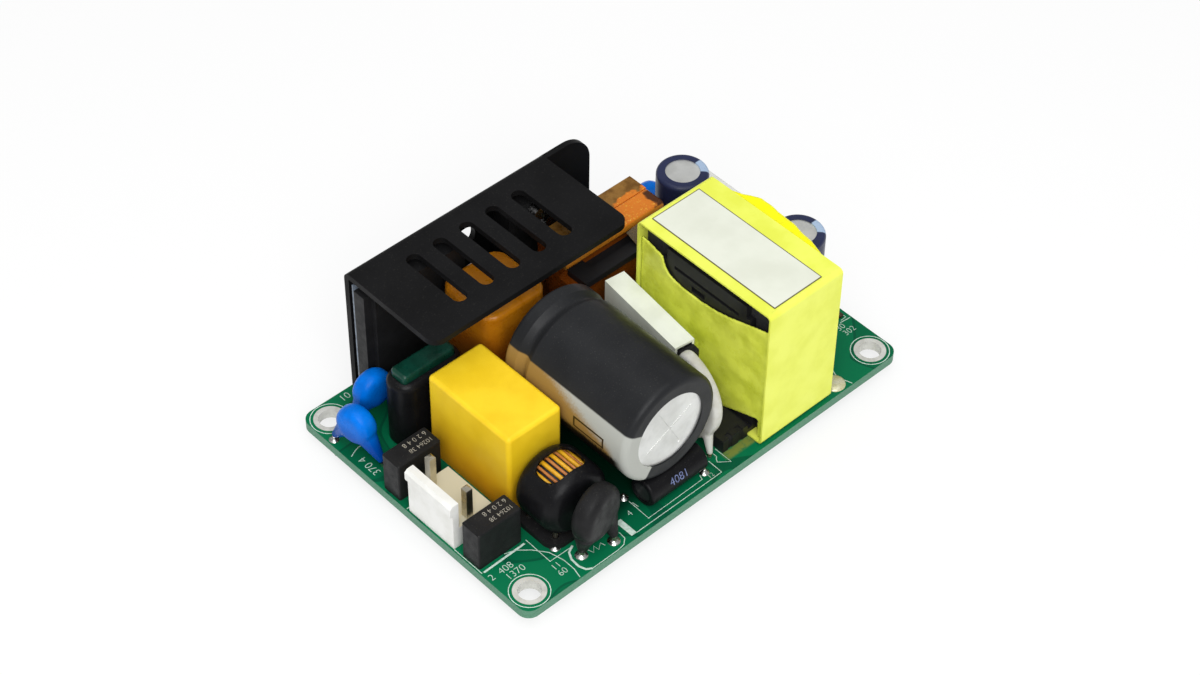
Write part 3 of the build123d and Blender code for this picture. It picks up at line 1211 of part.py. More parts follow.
with BuildPart() as transformer_bobbin:
    for flange_foot, flange_top in (
        (WINDOW_FOOT_Z, WINDING_FOOT_Z),
        (WINDING_TOP_Z, WINDOW_TOP_Z),
    ):
        block(
            TRAFO_FLANGE_LEFT_X,
            TRAFO_FLANGE_RIGHT_X,
            TRAFO_Y - FLANGE_LENGTH_Y / 2,
            TRAFO_Y + FLANGE_LENGTH_Y / 2,
            flange_foot,
            flange_top,
        )
    with BuildSketch(Plane.XY.offset(WINDOW_FOOT_Z)):
        with Locations((TRAFO_X, TRAFO_Y)):
            Rectangle(TUBE_DEPTH, TUBE_LENGTH)
    extrude(amount=WINDOW_HEIGHT)
    with BuildSketch(Plane.XY.offset(WINDOW_FOOT_Z)):
        with Locations((TRAFO_X, TRAFO_Y)):
            Rectangle(TRAFO_CORE_DEPTH + 2 * FIT_GAP, TRAFO_CENTRE_LEG + 2 * FIT_GAP)
    extrude(amount=WINDOW_HEIGHT, mode=Mode.SUBTRACT)
    block(
        RAIL_LEFT_X,
        TRAFO_LEFT_X,
        TRAFO_RAIL_FRONT_Y,
        TRAFO_RAIL_REAR_Y,
        BOARD_THICKNESS,
        BOARD_THICKNESS + TRAFO_RAIL_HEIGHT,
    )
    block(
        TRAFO_FLANGE_LEFT_X,
        TRAFO_FLANGE_LEFT_X + TRAFO_SKIRT_THICKNESS,
        TRAFO_RAIL_FRONT_Y,
        TRAFO_Y + FLANGE_LENGTH_Y / 2,
        LINK_FOOT_Z,
        WINDOW_FOOT_Z + TRAFO_FLANGE_THICKNESS,
    )
    block(
        TRAFO_LEFT_X - TRAFO_RAIL_LINK_OVERLAP,
        TRAFO_FLANGE_LEFT_X + TRAFO_RAIL_LINK_OVERLAP,
        TRAFO_RAIL_FRONT_Y,
        TRAFO_RAIL_REAR_Y,
        LINK_FOOT_Z,
        LINK_FOOT_Z + TRAFO_RAIL_LINK_HEIGHT,
    )
    for notch_x, notch_y in row(RAIL_MIDDLE_X, TRAFO_RAIL_FRONT_Y, 2, TRAFO_NOTCH_PITCH, 0):
        block(
            notch_x - TRAFO_NOTCH_WIDTH / 2,
            notch_x + TRAFO_NOTCH_WIDTH / 2,
            notch_y,
            notch_y + TRAFO_NOTCH_DEPTH,
            BOARD_THICKNESS,
            BOARD_THICKNESS + TRAFO_RAIL_HEIGHT,
            mode=Mode.SUBTRACT,
        )
    block(
        TRAFO_FLANGE_LEFT_X,
        CORE_LEFT_X - FIT_GAP,
        TRAFO_Y - TRAFO_TOP_RAIL_LENGTH / 2,
        TRAFO_Y + TRAFO_TOP_RAIL_LENGTH / 2,
        WINDING_TOP_Z,
        WINDOW_TOP_Z + TRAFO_TOP_RAIL_HEIGHT,
    )
    block(
        TRAFO_FLANGE_LEFT_X,
        TRAFO_FLANGE_LEFT_X + TRAFO_TOP_GROOVE_DEPTH,
        TRAFO_Y - TRAFO_TOP_RAIL_LENGTH / 2 + TRAFO_TOP_GROOVE_MARGIN,
        TRAFO_Y + TRAFO_TOP_RAIL_LENGTH / 2 - TRAFO_TOP_GROOVE_MARGIN,
        WINDOW_TOP_Z - TRAFO_TOP_GROOVE_DROP - TRAFO_TOP_GROOVE_HEIGHT,
        WINDOW_TOP_Z - TRAFO_TOP_GROOVE_DROP,
        mode=Mode.SUBTRACT,
    )
    block(
        TRAFO_FLANGE_LEFT_X,
        TRAFO_FLANGE_LEFT_X + TRAFO_TOP_GROOVE_DEPTH,
        TOP_NOTCH_REAR_Y - TRAFO_TOP_NOTCH_LENGTH,
        TOP_NOTCH_REAR_Y,
        WINDOW_TOP_Z - TRAFO_TOP_NOTCH_DROP - TRAFO_TOP_NOTCH_HEIGHT,
        WINDOW_TOP_Z - TRAFO_TOP_NOTCH_DROP,
        mode=Mode.SUBTRACT,
    )
save(transformer_bobbin, "transformer_bobbin")

# Transformer winding, wrapped in tape between the flanges
WINDING_FRONT_Y = TRAFO_Y - FLANGE_LENGTH_Y / 2 + FIT_GAP
WINDING_REAR_Y = TRAFO_Y + FLANGE_LENGTH_Y / 2 - FIT_GAP
with BuildPart() as transformer_winding:
    block(
        TRAFO_WINDING_LEFT_X,
        TRAFO_WINDING_RIGHT_X,
        WINDING_FRONT_Y,
        WINDING_REAR_Y,
        WINDING_FOOT_Z,
        WINDING_TOP_Z,
    )
    fillet(transformer_winding.edges().filter_by(Axis.Z), TRAFO_WINDING_EDGE_RADIUS)
    with BuildSketch(Plane.XY.offset(WINDING_FOOT_Z)):
        with Locations((TRAFO_X, TRAFO_Y)):
            Rectangle(TUBE_DEPTH, TUBE_LENGTH)
    extrude(amount=WINDING_TOP_Z - WINDING_FOOT_Z, mode=Mode.SUBTRACT)
save(transformer_winding, "transformer_winding")

# Loose tape: a sheet over the left side with a sagging top edge and a slanted foot
SIDE_TAPE_FRONT_Y = TRAFO_FRONT_Y + FILM_THICKNESS + FIT_GAP
SIDE_TAPE_REAR_Y = TRAFO_REAR_Y - FILM_THICKNESS - FIT_GAP
SIDE_TAPE_FOOT_Z = TRAFO_FOOT_Z + SIDE_TAPE_FOOT_GAP
SIDE_TAPE_SKIRT_Z = WINDOW_FOOT_Z - SIDE_TAPE_SKIRT_DROP
with BuildPart() as transformer_side_tape:
    with BuildSketch(Plane.YZ.offset(TRAFO_WINDING_LEFT_X - TRAFO_CURTAIN_THICKNESS)):
        with BuildLine():
            Polyline(
                (SIDE_TAPE_FRONT_Y, SIDE_TAPE_FOOT_Z),
                (TRAFO_FRONT_Y + SIDE_TAPE_FRONT_MARGIN, SIDE_TAPE_FOOT_Z),
                (TRAFO_FRONT_Y + SIDE_TAPE_FRONT_MARGIN, WINDOW_FOOT_Z - SIDE_TAPE_FRONT_DROP),
                (TRAFO_FRONT_Y + SIDE_TAPE_SKIRT_START, SIDE_TAPE_SKIRT_Z),
                (SIDE_TAPE_REAR_Y, SIDE_TAPE_SKIRT_Z),
                (SIDE_TAPE_REAR_Y, TRAFO_TOP_Z - SIDE_TAPE_REAR_TOP_DROP),
                (TRAFO_REAR_Y - SIDE_TAPE_REAR_STEP, TRAFO_TOP_Z - SIDE_TAPE_REAR_STEP_DROP),
            )
            Spline(
                (TRAFO_REAR_Y - SIDE_TAPE_REAR_STEP, TRAFO_TOP_Z - SIDE_TAPE_REAR_STEP_DROP),
                (TRAFO_REAR_Y - SIDE_TAPE_SAG_START, TRAFO_TOP_Z - SIDE_TAPE_SAG_START_DROP),
                (TRAFO_REAR_Y - SIDE_TAPE_SAG_MIDDLE, TRAFO_TOP_Z - SIDE_TAPE_SAG_DROP),
                (TRAFO_REAR_Y - SIDE_TAPE_SAG_END, TRAFO_TOP_Z - SIDE_TAPE_SAG_END_DROP),
                (SIDE_TAPE_FRONT_Y, TRAFO_TOP_Z - SIDE_TAPE_FRONT_TOP_DROP),
            )
            Line(
                (SIDE_TAPE_FRONT_Y, TRAFO_TOP_Z - SIDE_TAPE_FRONT_TOP_DROP),
                (SIDE_TAPE_FRONT_Y, SIDE_TAPE_FOOT_Z),
            )
        make_face()
    extrude(amount=TRAFO_CURTAIN_THICKNESS)
save(transformer_side_tape, "transformer_side_tape")

# Loose tape fold over the right side, above the output capacitor
FOLD_LEFT_X = TRAFO_FLANGE_RIGHT_X + FIT_GAP
FOLD_SHOULDER_Y = (TRAFO_FOLD_FRONT_Y + TRAFO_FOLD_CREST_FRONT_Y) / 2
with BuildPart() as transformer_tape_fold:
    with BuildSketch(Plane.XY.offset(TRAFO_FOLD_FOOT_Z)):
        with BuildLine():
            Polyline(
                (FOLD_LEFT_X, TRAFO_FOLD_FRONT_Y),
                (TRAFO_RIGHT_X, TRAFO_FOLD_FRONT_Y),
                (TRAFO_RIGHT_X + TRAFO_FOLD_SHOULDER, FOLD_SHOULDER_Y),
                (TRAFO_RIGHT_X + TRAFO_FOLD_REACH, TRAFO_FOLD_CREST_FRONT_Y),
                (TRAFO_RIGHT_X + TRAFO_FOLD_REACH, TRAFO_FOLD_CREST_REAR_Y),
                (TRAFO_RIGHT_X, TRAFO_FOLD_REAR_Y),
                (FOLD_LEFT_X, TRAFO_FOLD_REAR_Y),
                close=True,
            )
        make_face()
    extrude(amount=TRAFO_FOLD_TOP_Z - TRAFO_FOLD_FOOT_Z)
    fold_rim = transformer_tape_fold.faces().sort_by(Axis.Z)[-1].edges()
    fillet(fold_rim.filter_by_position(Axis.X, TRAFO_RIGHT_X + 0.2, 99), TRAFO_FOLD_EDGE_RADIUS)
save(transformer_tape_fold, "transformer_tape_fold")

# Blank label on top
with BuildPart() as transformer_label:
    with BuildSketch(Plane.XY.offset(TRAFO_TOP_Z)):
        with Locations((LABEL_X, LABEL_Y)):
            Rectangle(LABEL_WIDTH, LABEL_LENGTH)
    extrude(amount=LABEL_THICKNESS)
save(transformer_label, "transformer_label")

# Amber choke: a wrapped winding on a black base
amber_feet = pair(AMBER_X, AMBER_Y, AMBER_LEAD_PITCH, 0)
with BuildPart() as amber_choke_base:
    with BuildSketch(Plane.XY.offset(BOARD_THICKNESS)):
        with Locations((AMBER_X, AMBER_Y)):
            Rectangle(AMBER_LENGTH - AMBER_BASE_MARGIN, AMBER_DEPTH - AMBER_BASE_MARGIN)
    extrude(amount=AMBER_BASE_HEIGHT)
save(amber_choke_base, "amber_choke_base")

AMBER_FOOT_Z = BOARD_THICKNESS + AMBER_BASE_HEIGHT
with BuildPart() as amber_choke_tape:
    with BuildSketch(Plane.XY.offset(AMBER_FOOT_Z)):
        with Locations((AMBER_X, AMBER_Y)):
            RectangleRounded(AMBER_LENGTH, AMBER_DEPTH, AMBER_CORNER_RADIUS)
    extrude(amount=AMBER_TOP_Z - AMBER_FOOT_Z)
    fillet(amber_choke_tape.faces().sort_by(Axis.Z)[-1].edges(), AMBER_TOP_RADIUS)
save(amber_choke_tape, "amber_choke_tape")

# Boost choke: orange wrapped winding, black core bars, base and loose film
BOOST_X = (BOOST_LEFT_X + BOOST_RIGHT_X) / 2
BOOST_Y = (BOOST_FRONT_Y + BOOST_REAR_Y) / 2
BOOST_FOOT_Z = BOARD_THICKNESS + BOOST_BASE_HEIGHT
boost_feet = pair(BOOST_X, BOOST_Y, BOOST_LEAD_SPAN_X, BOOST_LEAD_SPAN_Y) + pair(
    BOOST_X, BOOST_Y, -BOOST_LEAD_SPAN_X, BOOST_LEAD_SPAN_Y
)
with BuildPart() as boost_choke_base:
    block(
        BOOST_LEFT_X,
        BOOST_RIGHT_X,
        BOOST_FRONT_Y,
        BOOST_REAR_Y,
        BOARD_THICKNESS,
        BOOST_FOOT_Z,
    )
save(boost_choke_base, "boost_choke_base")

BOOST_LEDGE_TOP_Z = BOOST_LEDGE_FOOT_Z + BOOST_LEDGE_HEIGHT
BOOST_LEDGE_FRONT_Y = BOOST_FRONT_Y - BOOST_LEDGE_REACH
BOOST_LEDGE_LEFT_X = BOOST_LEFT_X + BOOST_LEDGE_INSET
with BuildPart() as boost_choke_tape:
    with BuildSketch(Plane.YZ.offset(BOOST_LEFT_X)):
        with BuildLine():
            FilletPolyline(
                (BOOST_FRONT_Y, BOOST_FOOT_Z),
                (BOOST_FRONT_Y, BOOST_LEDGE_FOOT_Z),
                (BOOST_RECESS_FRONT_Y, BOOST_LEDGE_FOOT_Z),
                (BOOST_RECESS_FRONT_Y, BOOST_LEDGE_TOP_Z),
                (BOOST_UPPER_FRONT_Y, BOOST_TOP_Z - BOOST_BROW_HEIGHT),
                (BOOST_UPPER_FRONT_Y, BOOST_TOP_Z),
                (BOOST_REAR_Y, BOOST_TOP_Z),
                (BOOST_REAR_Y, BOOST_FOOT_Z),
                radius=(0, 0, 0, 0, 0, BOOST_CORNER_RADIUS, BOOST_CORNER_RADIUS / 2, 0),
                close=True,
            )
        make_face()
    extrude(amount=BOOST_RIGHT_X - BOOST_LEFT_X)
    fillet(boost_choke_tape.edges().filter_by(Axis.Z), BOOST_CORNER_RADIUS / 2)
save(boost_choke_tape, "boost_choke_tape")

with BuildPart() as boost_choke_core:
    block(
        BOOST_LEDGE_LEFT_X,
        BOOST_RIGHT_X,
        BOOST_LEDGE_FRONT_Y,
        BOOST_RECESS_FRONT_Y,
        BOOST_LEDGE_FOOT_Z,
        BOOST_LEDGE_TOP_Z,
    )
    block(
        BOOST_LEDGE_LEFT_X + BOOST_TROUGH_INSET,
        BOOST_RIGHT_X - BOOST_LEDGE_INSET,
        BOOST_RECESS_FRONT_Y - BOOST_TROUGH_WIDTH,
        BOOST_RECESS_FRONT_Y,
        BOOST_LEDGE_TOP_Z - BOOST_TROUGH_DEPTH,
        BOOST_LEDGE_TOP_Z,
        mode=Mode.SUBTRACT,
    )
    trough_corners = boost_choke_core.edges().filter_by(Axis.Z).filter_by_position(
        Axis.Y,
        BOOST_RECESS_FRONT_Y - BOOST_TROUGH_WIDTH - FIT_GAP,
        BOOST_RECESS_FRONT_Y - BOOST_TROUGH_WIDTH + FIT_GAP,
    )
    fillet(trough_corners, BOOST_TROUGH_CORNER_RADIUS)
save(boost_choke_core, "boost_choke_core")

with BuildPart() as boost_choke_film:
    block(
        BOOST_LEDGE_LEFT_X,
        BOOST_RIGHT_X,
        BOOST_REAR_Y,
        BOOST_FILM_REAR_Y,
        BOOST_TOP_Z - BOOST_FILM_HEIGHT,
        BOOST_TOP_Z - FIT_GAP,
    )
    offset(
        amount=-FILM_THICKNESS,
        openings=boost_choke_film.faces().sort_by(Axis.Z)[0],
    )
save(boost_choke_film, "boost_choke_film")


def standing_capacitor(x, y):
    """Can and sleeve outlines of one output capacitor, ready to be turned."""
    plane = Plane(origin=(x, y, OUTPUT_CAP_TOP_Z), x_dir=(0, 0, -1), z_dir=(0, 1, 0))
    height = OUTPUT_CAP_TOP_Z - OUTPUT_CAP_FOOT_Z
    wall = OUTPUT_CAP_SLEEVE_THICKNESS
    inner = OUTPUT_CAP_RADIUS - wall
    can = turned_profile(
        plane,
        [
            (wall, 0),
            (wall, inner - FIT_GAP),
            (height, inner - FIT_GAP),
            (height, 0),
        ],
        (0, OUTPUT_CAP_CORNER_RADIUS - FIT_GAP, 0, 0),
    )
    sleeve = turned_profile(
        plane,
        [
            (0, OUTPUT_CAP_LIP_RADIUS),
            (0, OUTPUT_CAP_RADIUS),
            (height, OUTPUT_CAP_RADIUS),
            (height, inner),
            (wall, inner),
            (wall, OUTPUT_CAP_LIP_RADIUS),
        ],
        (0, OUTPUT_CAP_CORNER_RADIUS, 0, 0, OUTPUT_CAP_CORNER_RADIUS - FIT_GAP, 0),
    )
    return can, sleeve, Axis((x, y, 0), (0, 0, 1))


# Two output capacitors
output_cap_places = [
    (OUTPUT_CAP_REAR_X, OUTPUT_CAP_REAR_Y),
    (OUTPUT_CAP_FRONT_X, OUTPUT_CAP_FRONT_Y),
]
output_cap_parts = [standing_capacitor(x, y) for x, y in output_cap_places]
with BuildPart() as output_capacitor_cans:
    for can, sleeve, axis in output_cap_parts:
        revolve(can, axis=axis)
save(output_capacitor_cans, "output_capacitor_cans")

with BuildPart() as output_capacitor_sleeves:
    for can, sleeve, axis in output_cap_parts:
        revolve(sleeve, axis=axis)
save(output_capacitor_sleeves, "output_capacitor_sleeves")

output_cap_feet = [
    foot for x, y in output_cap_places for foot in row(x, y, 2, 0, OUTPUT_CAP_LEAD_PITCH)
]
with BuildPart() as output_capacitor_leads:
    with BuildSketch(Plane.XY.offset(BOARD_THICKNESS)):
        with Locations(*output_cap_feet):
            Circle(FINE_WIRE_RADIUS)
    extrude(amount=OUTPUT_CAP_FOOT_Z - BOARD_THICKNESS)
save(output_capacitor_leads, "output_capacitor_leads")

# Chips under the board
with BuildPart() as underside_chips:
    with BuildSketch(Plane.XY):
        with Locations(*row(CHIP_X, CHIP_Y, CHIP_COUNT, CHIP_PITCH_X, 0)):
            Rectangle(CHIP_LENGTH, CHIP_WIDTH)
    extrude(amount=-CHIP_HEIGHT)
save(underside_chips, "underside_chips")

# Solder joints with the cut lead ends, all ending at one level
x_cap_feet = row(X_CAP_X, X_CAP_Y, 2, 0, X_CAP_LEAD_PITCH)
fuse_feet = row(FUSE_X, FUSE_FRONT_Y, 2, FUSE_LEAD_PITCH, 0) + row(
    FUSE_X, FUSE_REAR_Y, 2, FUSE_LEAD_PITCH, 0
)
trafo_feet = row(
    TRAFO_X - TRAFO_PIN_SPAN / 2, TRAFO_Y, TRAFO_PIN_COUNT, 0, TRAFO_PIN_PITCH
) + row(TRAFO_X + TRAFO_PIN_SPAN / 2, TRAFO_Y, TRAFO_PIN_COUNT, 0, TRAFO_PIN_PITCH)
all_feet = (
    bridge_feet
    + transistor_feet
    + input_feet
    + output_feet
    + safety_feet
    + ring_feet
    + bar_feet
    + [ntc_left_foot, ntc_right_foot]
    + bulk_feet
    + small_feet
    + white_feet
    + amber_feet
    + boost_feet
    + output_cap_feet
    + x_cap_feet
    + fuse_feet
    + trafo_feet
)
with BuildPart() as solder_joints:
    with BuildSketch(Plane.XY):
        with Locations(*all_feet):
            RegularPolygon(JOINT_RADIUS, JOINT_SIDES)
    extrude(amount=LEAD_END_DROP, dir=(0, 0, -1), taper=JOINT_TAPER)
save(solder_joints, "solder_joints")
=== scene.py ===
"""Dresses the power supply module for a studio picture.

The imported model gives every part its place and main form. This script adds what a source of plain
solids leaves out: print on the board, solder, the choke's two wires, dipped and melted shapes,
wrinkled tape, loose films and the finish of every surface. Sizes are written in millimetres and
built in metres, in the module's own frame: X from input to output, Y to the heatsink, Z up from
the board's underside.
"""

import json
import logging
import math
from dataclasses import dataclass
from enum import Enum
from typing import Optional, Sequence

import bpy
from bpy.types import Material, Node, NodeSocket, Object
from mathutils import Matrix, Vector

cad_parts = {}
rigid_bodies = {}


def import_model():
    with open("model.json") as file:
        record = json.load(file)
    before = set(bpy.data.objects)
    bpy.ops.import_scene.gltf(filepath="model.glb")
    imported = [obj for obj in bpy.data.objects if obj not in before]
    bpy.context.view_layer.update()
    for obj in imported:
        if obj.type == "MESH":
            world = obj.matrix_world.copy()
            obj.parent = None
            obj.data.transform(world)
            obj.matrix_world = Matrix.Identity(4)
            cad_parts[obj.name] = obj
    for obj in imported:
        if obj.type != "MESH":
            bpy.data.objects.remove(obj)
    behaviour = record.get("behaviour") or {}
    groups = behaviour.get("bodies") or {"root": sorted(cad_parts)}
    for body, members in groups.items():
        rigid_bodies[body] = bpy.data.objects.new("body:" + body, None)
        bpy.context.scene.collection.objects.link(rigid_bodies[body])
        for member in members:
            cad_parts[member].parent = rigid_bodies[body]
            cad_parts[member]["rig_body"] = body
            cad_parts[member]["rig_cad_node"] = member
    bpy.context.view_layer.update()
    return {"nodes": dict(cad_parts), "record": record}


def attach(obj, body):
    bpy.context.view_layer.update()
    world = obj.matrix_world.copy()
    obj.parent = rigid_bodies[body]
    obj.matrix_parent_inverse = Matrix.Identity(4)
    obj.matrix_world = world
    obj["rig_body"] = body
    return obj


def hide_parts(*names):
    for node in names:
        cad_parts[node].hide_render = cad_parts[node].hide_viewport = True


LOG = logging.getLogger("power_supply_module")
MM = 0.001
BOARD_TOP = 1.6
FONT_SCALE = 1.4
FONT_THINNING = -0.03
SMOOTHING = 0.5
NOISE_ROUGHNESS = 0.55
# How far the surface turns at an edge, in degrees, before the edge is shaded sharp.
SHARP_EDGE = 35.0
ROUND_EDGE = 60.0
SOFT_EDGE = 80.0
Place = tuple[float, float, float]
Spot = tuple[float, float]


class Pick(Enum):
    """What the tools of an edit step act on."""

    VERTICES = (True, False, False)
    FACES = (False, False, True)


class Axis(Enum):
    """One of the frame's directions, by its place among the coordinates."""

    X = 0
    Y = 1
    Z = 2


def mm(*values: float) -> Vector:
    """Turns millimetres into a vector in metres."""
    return Vector(value * MM for value in values)


def paint(code: str) -> tuple[float, float, float, float]:
    """Turns a screen's colour code into a shader's linear colour, by the curve screens use.

    Args:
        code: six hexadecimal digits after a hash.

    Returns:
        Red, green, blue and a full alpha.
    """
    parts = [int(code[i : i + 2], 16) / 255 for i in (1, 3, 5)]
    linear = [c / 12.92 if c <= 0.04045 else ((c + 0.055) / 1.055) ** 2.4 for c in parts]
    return (*linear, 1.0)


class Bench:
    """Hand tools that every sub-assembly works with."""

    @staticmethod
    def take(*pieces: Object) -> None:
        """Selects some pieces and nothing else.

        Args:
            pieces: the pieces, the first of which becomes the active one.
        """
        bpy.ops.object.select_all(action="DESELECT")
        for piece in pieces:
            piece.select_set(True)
        bpy.context.view_layer.objects.active = pieces[0]

    @staticmethod
    def edit(piece: Object, pick: Pick) -> None:
        """Goes into edit mode with all of a piece selected.

        Args:
            piece: the piece to work on.
            pick: whether the tools act on vertices or on faces.
        """
        Bench.take(piece)
        bpy.context.tool_settings.mesh_select_mode = pick.value
        bpy.ops.object.mode_set(mode="EDIT")
        bpy.ops.mesh.select_all(action="SELECT")

    @staticmethod
    def leave() -> None:
        """Goes back to object mode."""
        bpy.ops.object.mode_set(mode="OBJECT")

    @staticmethod
    def set_down(piece: Object) -> Object:
        """Puts a piece's place, turn and size into its mesh.

        Args:
            piece: the piece, wherever it was made.

        Returns:
            The same piece, its object at the origin.
        """
        Bench.take(piece)
        bpy.ops.object.transform_apply(location=True, rotation=True, scale=True)
        return piece

    @staticmethod
    def modify(piece: Object, kind: str, **settings: object) -> Object:
        """Adds one modifier and applies it.

        Args:
            piece: the piece to change.
            kind: the modifier's type.
            settings: its values.

        Returns:
            The same piece.
        """
        Bench.take(piece)
        bpy.ops.object.modifier_add(type=kind)
        modifier = piece.modifiers[-1]
        for name, value in settings.items():
            setattr(modifier, name, value)
        bpy.ops.object.modifier_apply(modifier=modifier.name)
        return piece

    @staticmethod
    def join(parts: Sequence[Object]) -> Object:
        """Joins several parts into the first of them.

        Args:
            parts: the parts to join.

        Returns:
            The joined piece, set down.
        """
        Bench.take(*parts)
        if len(parts) > 1:
            bpy.ops.object.join()
        return Bench.set_down(bpy.context.view_layer.objects.active)

    @staticmethod
    def rod(start: Place, end: Place, radii: Spot, sides: int = 24) -> Object:
        """Makes one tapered run between two places.

        Args:
            start: where it begins, in millimetres.
            end: where it ends.
            radii: its radius at the start and at the end.
            sides: faces round it.

        Returns:
            The run as a piece.
        """
        first, last = mm(*start), mm(*end)
        run = last - first
        bpy.ops.mesh.primitive_cone_add(
            vertices=sides,
            radius1=radii[0] * MM,
            radius2=radii[1] * MM,
            depth=run.length,
            location=(first + last) / 2,
            rotation=run.to_track_quat("Z", "Y").to_euler(),
        )
        return Bench.set_down(bpy.context.object)

    @staticmethod
    def turned(profile: Sequence[Spot], centre: Place, sides: int) -> Object:
        """Turns a solid up from a disc, one extruded ring at a time.

        Args:
            profile: radius and height pairs from the foot up, in millimetres.
            centre: the middle of the foot.
            sides: faces round it.

        Returns:
            The turned piece with a closed foot and top.
        """
        radius, height = profile[0]
        place = mm(*centre) + mm(0, 0, height)
        bpy.ops.mesh.primitive_circle_add(
            vertices=sides, radius=radius * MM, fill_type="NGON", location=place
        )
        piece = Bench.set_down(bpy.context.object)
        Bench.edit(piece, Pick.FACES)
        for next_radius, next_height in profile[1:]:
            bpy.ops.mesh.extrude_region_move(
                TRANSFORM_OT_translate={"value": (0, 0, (next_height - height) * MM)}
            )
            share = next_radius / radius
            bpy.ops.transform.resize(
                value=(share, share, 1), center_override=mm(centre[0], centre[1], 0)
            )
            radius, height = next_radius, next_height
        bpy.ops.mesh.select_all(action="SELECT")
        bpy.ops.mesh.normals_make_consistent(inside=False)
        Bench.leave()
        return piece

    @staticmethod
    def stroke(
        points: Sequence[Place], width: float, height: float, closed: bool = False
    ) -> Object:
        """Draws one line as a raised strip.

        Args:
            points: the corners of the line, in millimetres.
            width: the strip's width.
            height: how far it stands above its points.
            closed: whether the line returns to its start.

        Returns:
            The strip as a mesh.
        """
        line = bpy.data.curves.new("stroke", "CURVE")
        line.dimensions = "3D"
        spline = line.splines.new("POLY")
        spline.points.add(len(points) - 1)
        for point, place in zip(spline.points, points):
            point.co = (*mm(place[0], place[1], 0), 1)
        spline.use_cyclic_u = closed
        line.bevel_depth = width / 2 * MM
        line.bevel_resolution = 1
        line.use_fill_caps = True
        piece = bpy.data.objects.new("stroke", line)
        bpy.context.scene.collection.objects.link(piece)
        Bench.take(piece)
        bpy.ops.object.convert(target="MESH")
        piece.scale = (1, 1, 2 * height / width)
        piece.location = mm(0, 0, points[0][2])
        return Bench.set_down(piece)

    @staticmethod
    def digits(
        text: str, place: Place, size: float, turn: float, height: float, tilt: float = 0.0
    ) -> Object:
        """Prints plain digits on a face.

        Args:
            text: the digits.
            place: where their foot starts, in millimetres.
            size: their height.
            turn: the way they run, in degrees.
            height: how far they stand above the face.
            tilt: how far the face leans forward, in degrees.

        Returns:
            The digits as a mesh.
        """
        bpy.ops.object.text_add(
            location=mm(*place) + mm(0, 0, height / 2),
            rotation=(math.radians(tilt), 0, math.radians(turn)),
        )
        piece = bpy.context.object
        piece.data.body = text
        piece.data.size = size * FONT_SCALE * MM
        piece.data.extrude = height / 2 * MM
        piece.data.offset = FONT_THINNING * MM
        Bench.take(piece)
        bpy.ops.object.convert(target="MESH")
        return Bench.set_down(bpy.context.object)

    @staticmethod
    def melt(parts: Sequence[Object], voxel: float, rounds: int) -> Object:
        """Melts overlapping parts into one smooth skin.

        Args:
            parts: the parts, which overlap.
            voxel: the grain of the skin in millimetres.
            rounds: how often the skin is smoothed.

        Returns:
            The melted piece.
        """
        piece = Bench.join(parts)
        Bench.modify(piece, "REMESH", mode="VOXEL", voxel_size=voxel * MM)
        return Bench.modify(piece, "SMOOTH", factor=SMOOTHING, iterations=rounds)

    @staticmethod
    def copy_of(node: str) -> Object:
        """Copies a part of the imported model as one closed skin.

        Args:
            node: the part's name.

        Returns:
            The copy, its doubled points merged.
        """
        Bench.take(bpy.data.objects[node])
        bpy.ops.object.duplicate()
        piece = bpy.context.view_layer.objects.active
        piece.parent = None
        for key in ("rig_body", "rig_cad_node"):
            if key in piece:
                del piece[key]
        Bench.edit(piece, Pick.FACES)
        bpy.ops.mesh.remove_doubles(threshold=0.005 * MM)
        Bench.leave()
        return piece

    @staticmethod
    def finish(
        piece: Object,
        name: str,
        material: Material,
        replaces: Sequence[str] = (),
        slot: Optional[str] = None,
        sharp: float = SHARP_EDGE,
    ) -> Object:
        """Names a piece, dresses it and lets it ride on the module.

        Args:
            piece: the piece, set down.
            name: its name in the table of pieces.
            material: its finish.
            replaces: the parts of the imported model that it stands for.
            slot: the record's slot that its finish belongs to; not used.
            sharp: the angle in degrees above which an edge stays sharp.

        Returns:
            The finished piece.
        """
        Bench.set_down(piece)
        bpy.ops.object.shade_smooth_by_angle(angle=math.radians(sharp))
        piece.name = name
        piece.data.name = name
        piece.data.materials.clear()
        piece.data.materials.append(material)
        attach(piece, "root")
        if replaces:
            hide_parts(*replaces)
        LOG.info("%s: %d faces", name, len(piece.data.polygons))
        return piece


@dataclass(frozen=True)
class Slab:
    """A small block with softened edges, its turn in degrees about each axis."""

    place: Place
    size: Place
    bevel: float
    segments: int
    turn: Place = (0.0, 0.0, 0.0)

    def made(self) -> Object:
        """Sets the block at its place and softens its edges.

        Returns:
            The block.
        """
        bpy.ops.mesh.primitive_cube_add(
            size=MM,
            location=mm(*self.place),
            rotation=tuple(math.radians(angle) for angle in self.turn),
            scale=self.size,
        )
        block = Bench.set_down(bpy.context.object)
        return Bench.modify(block, "BEVEL", width=self.bevel * MM, segments=self.segments)


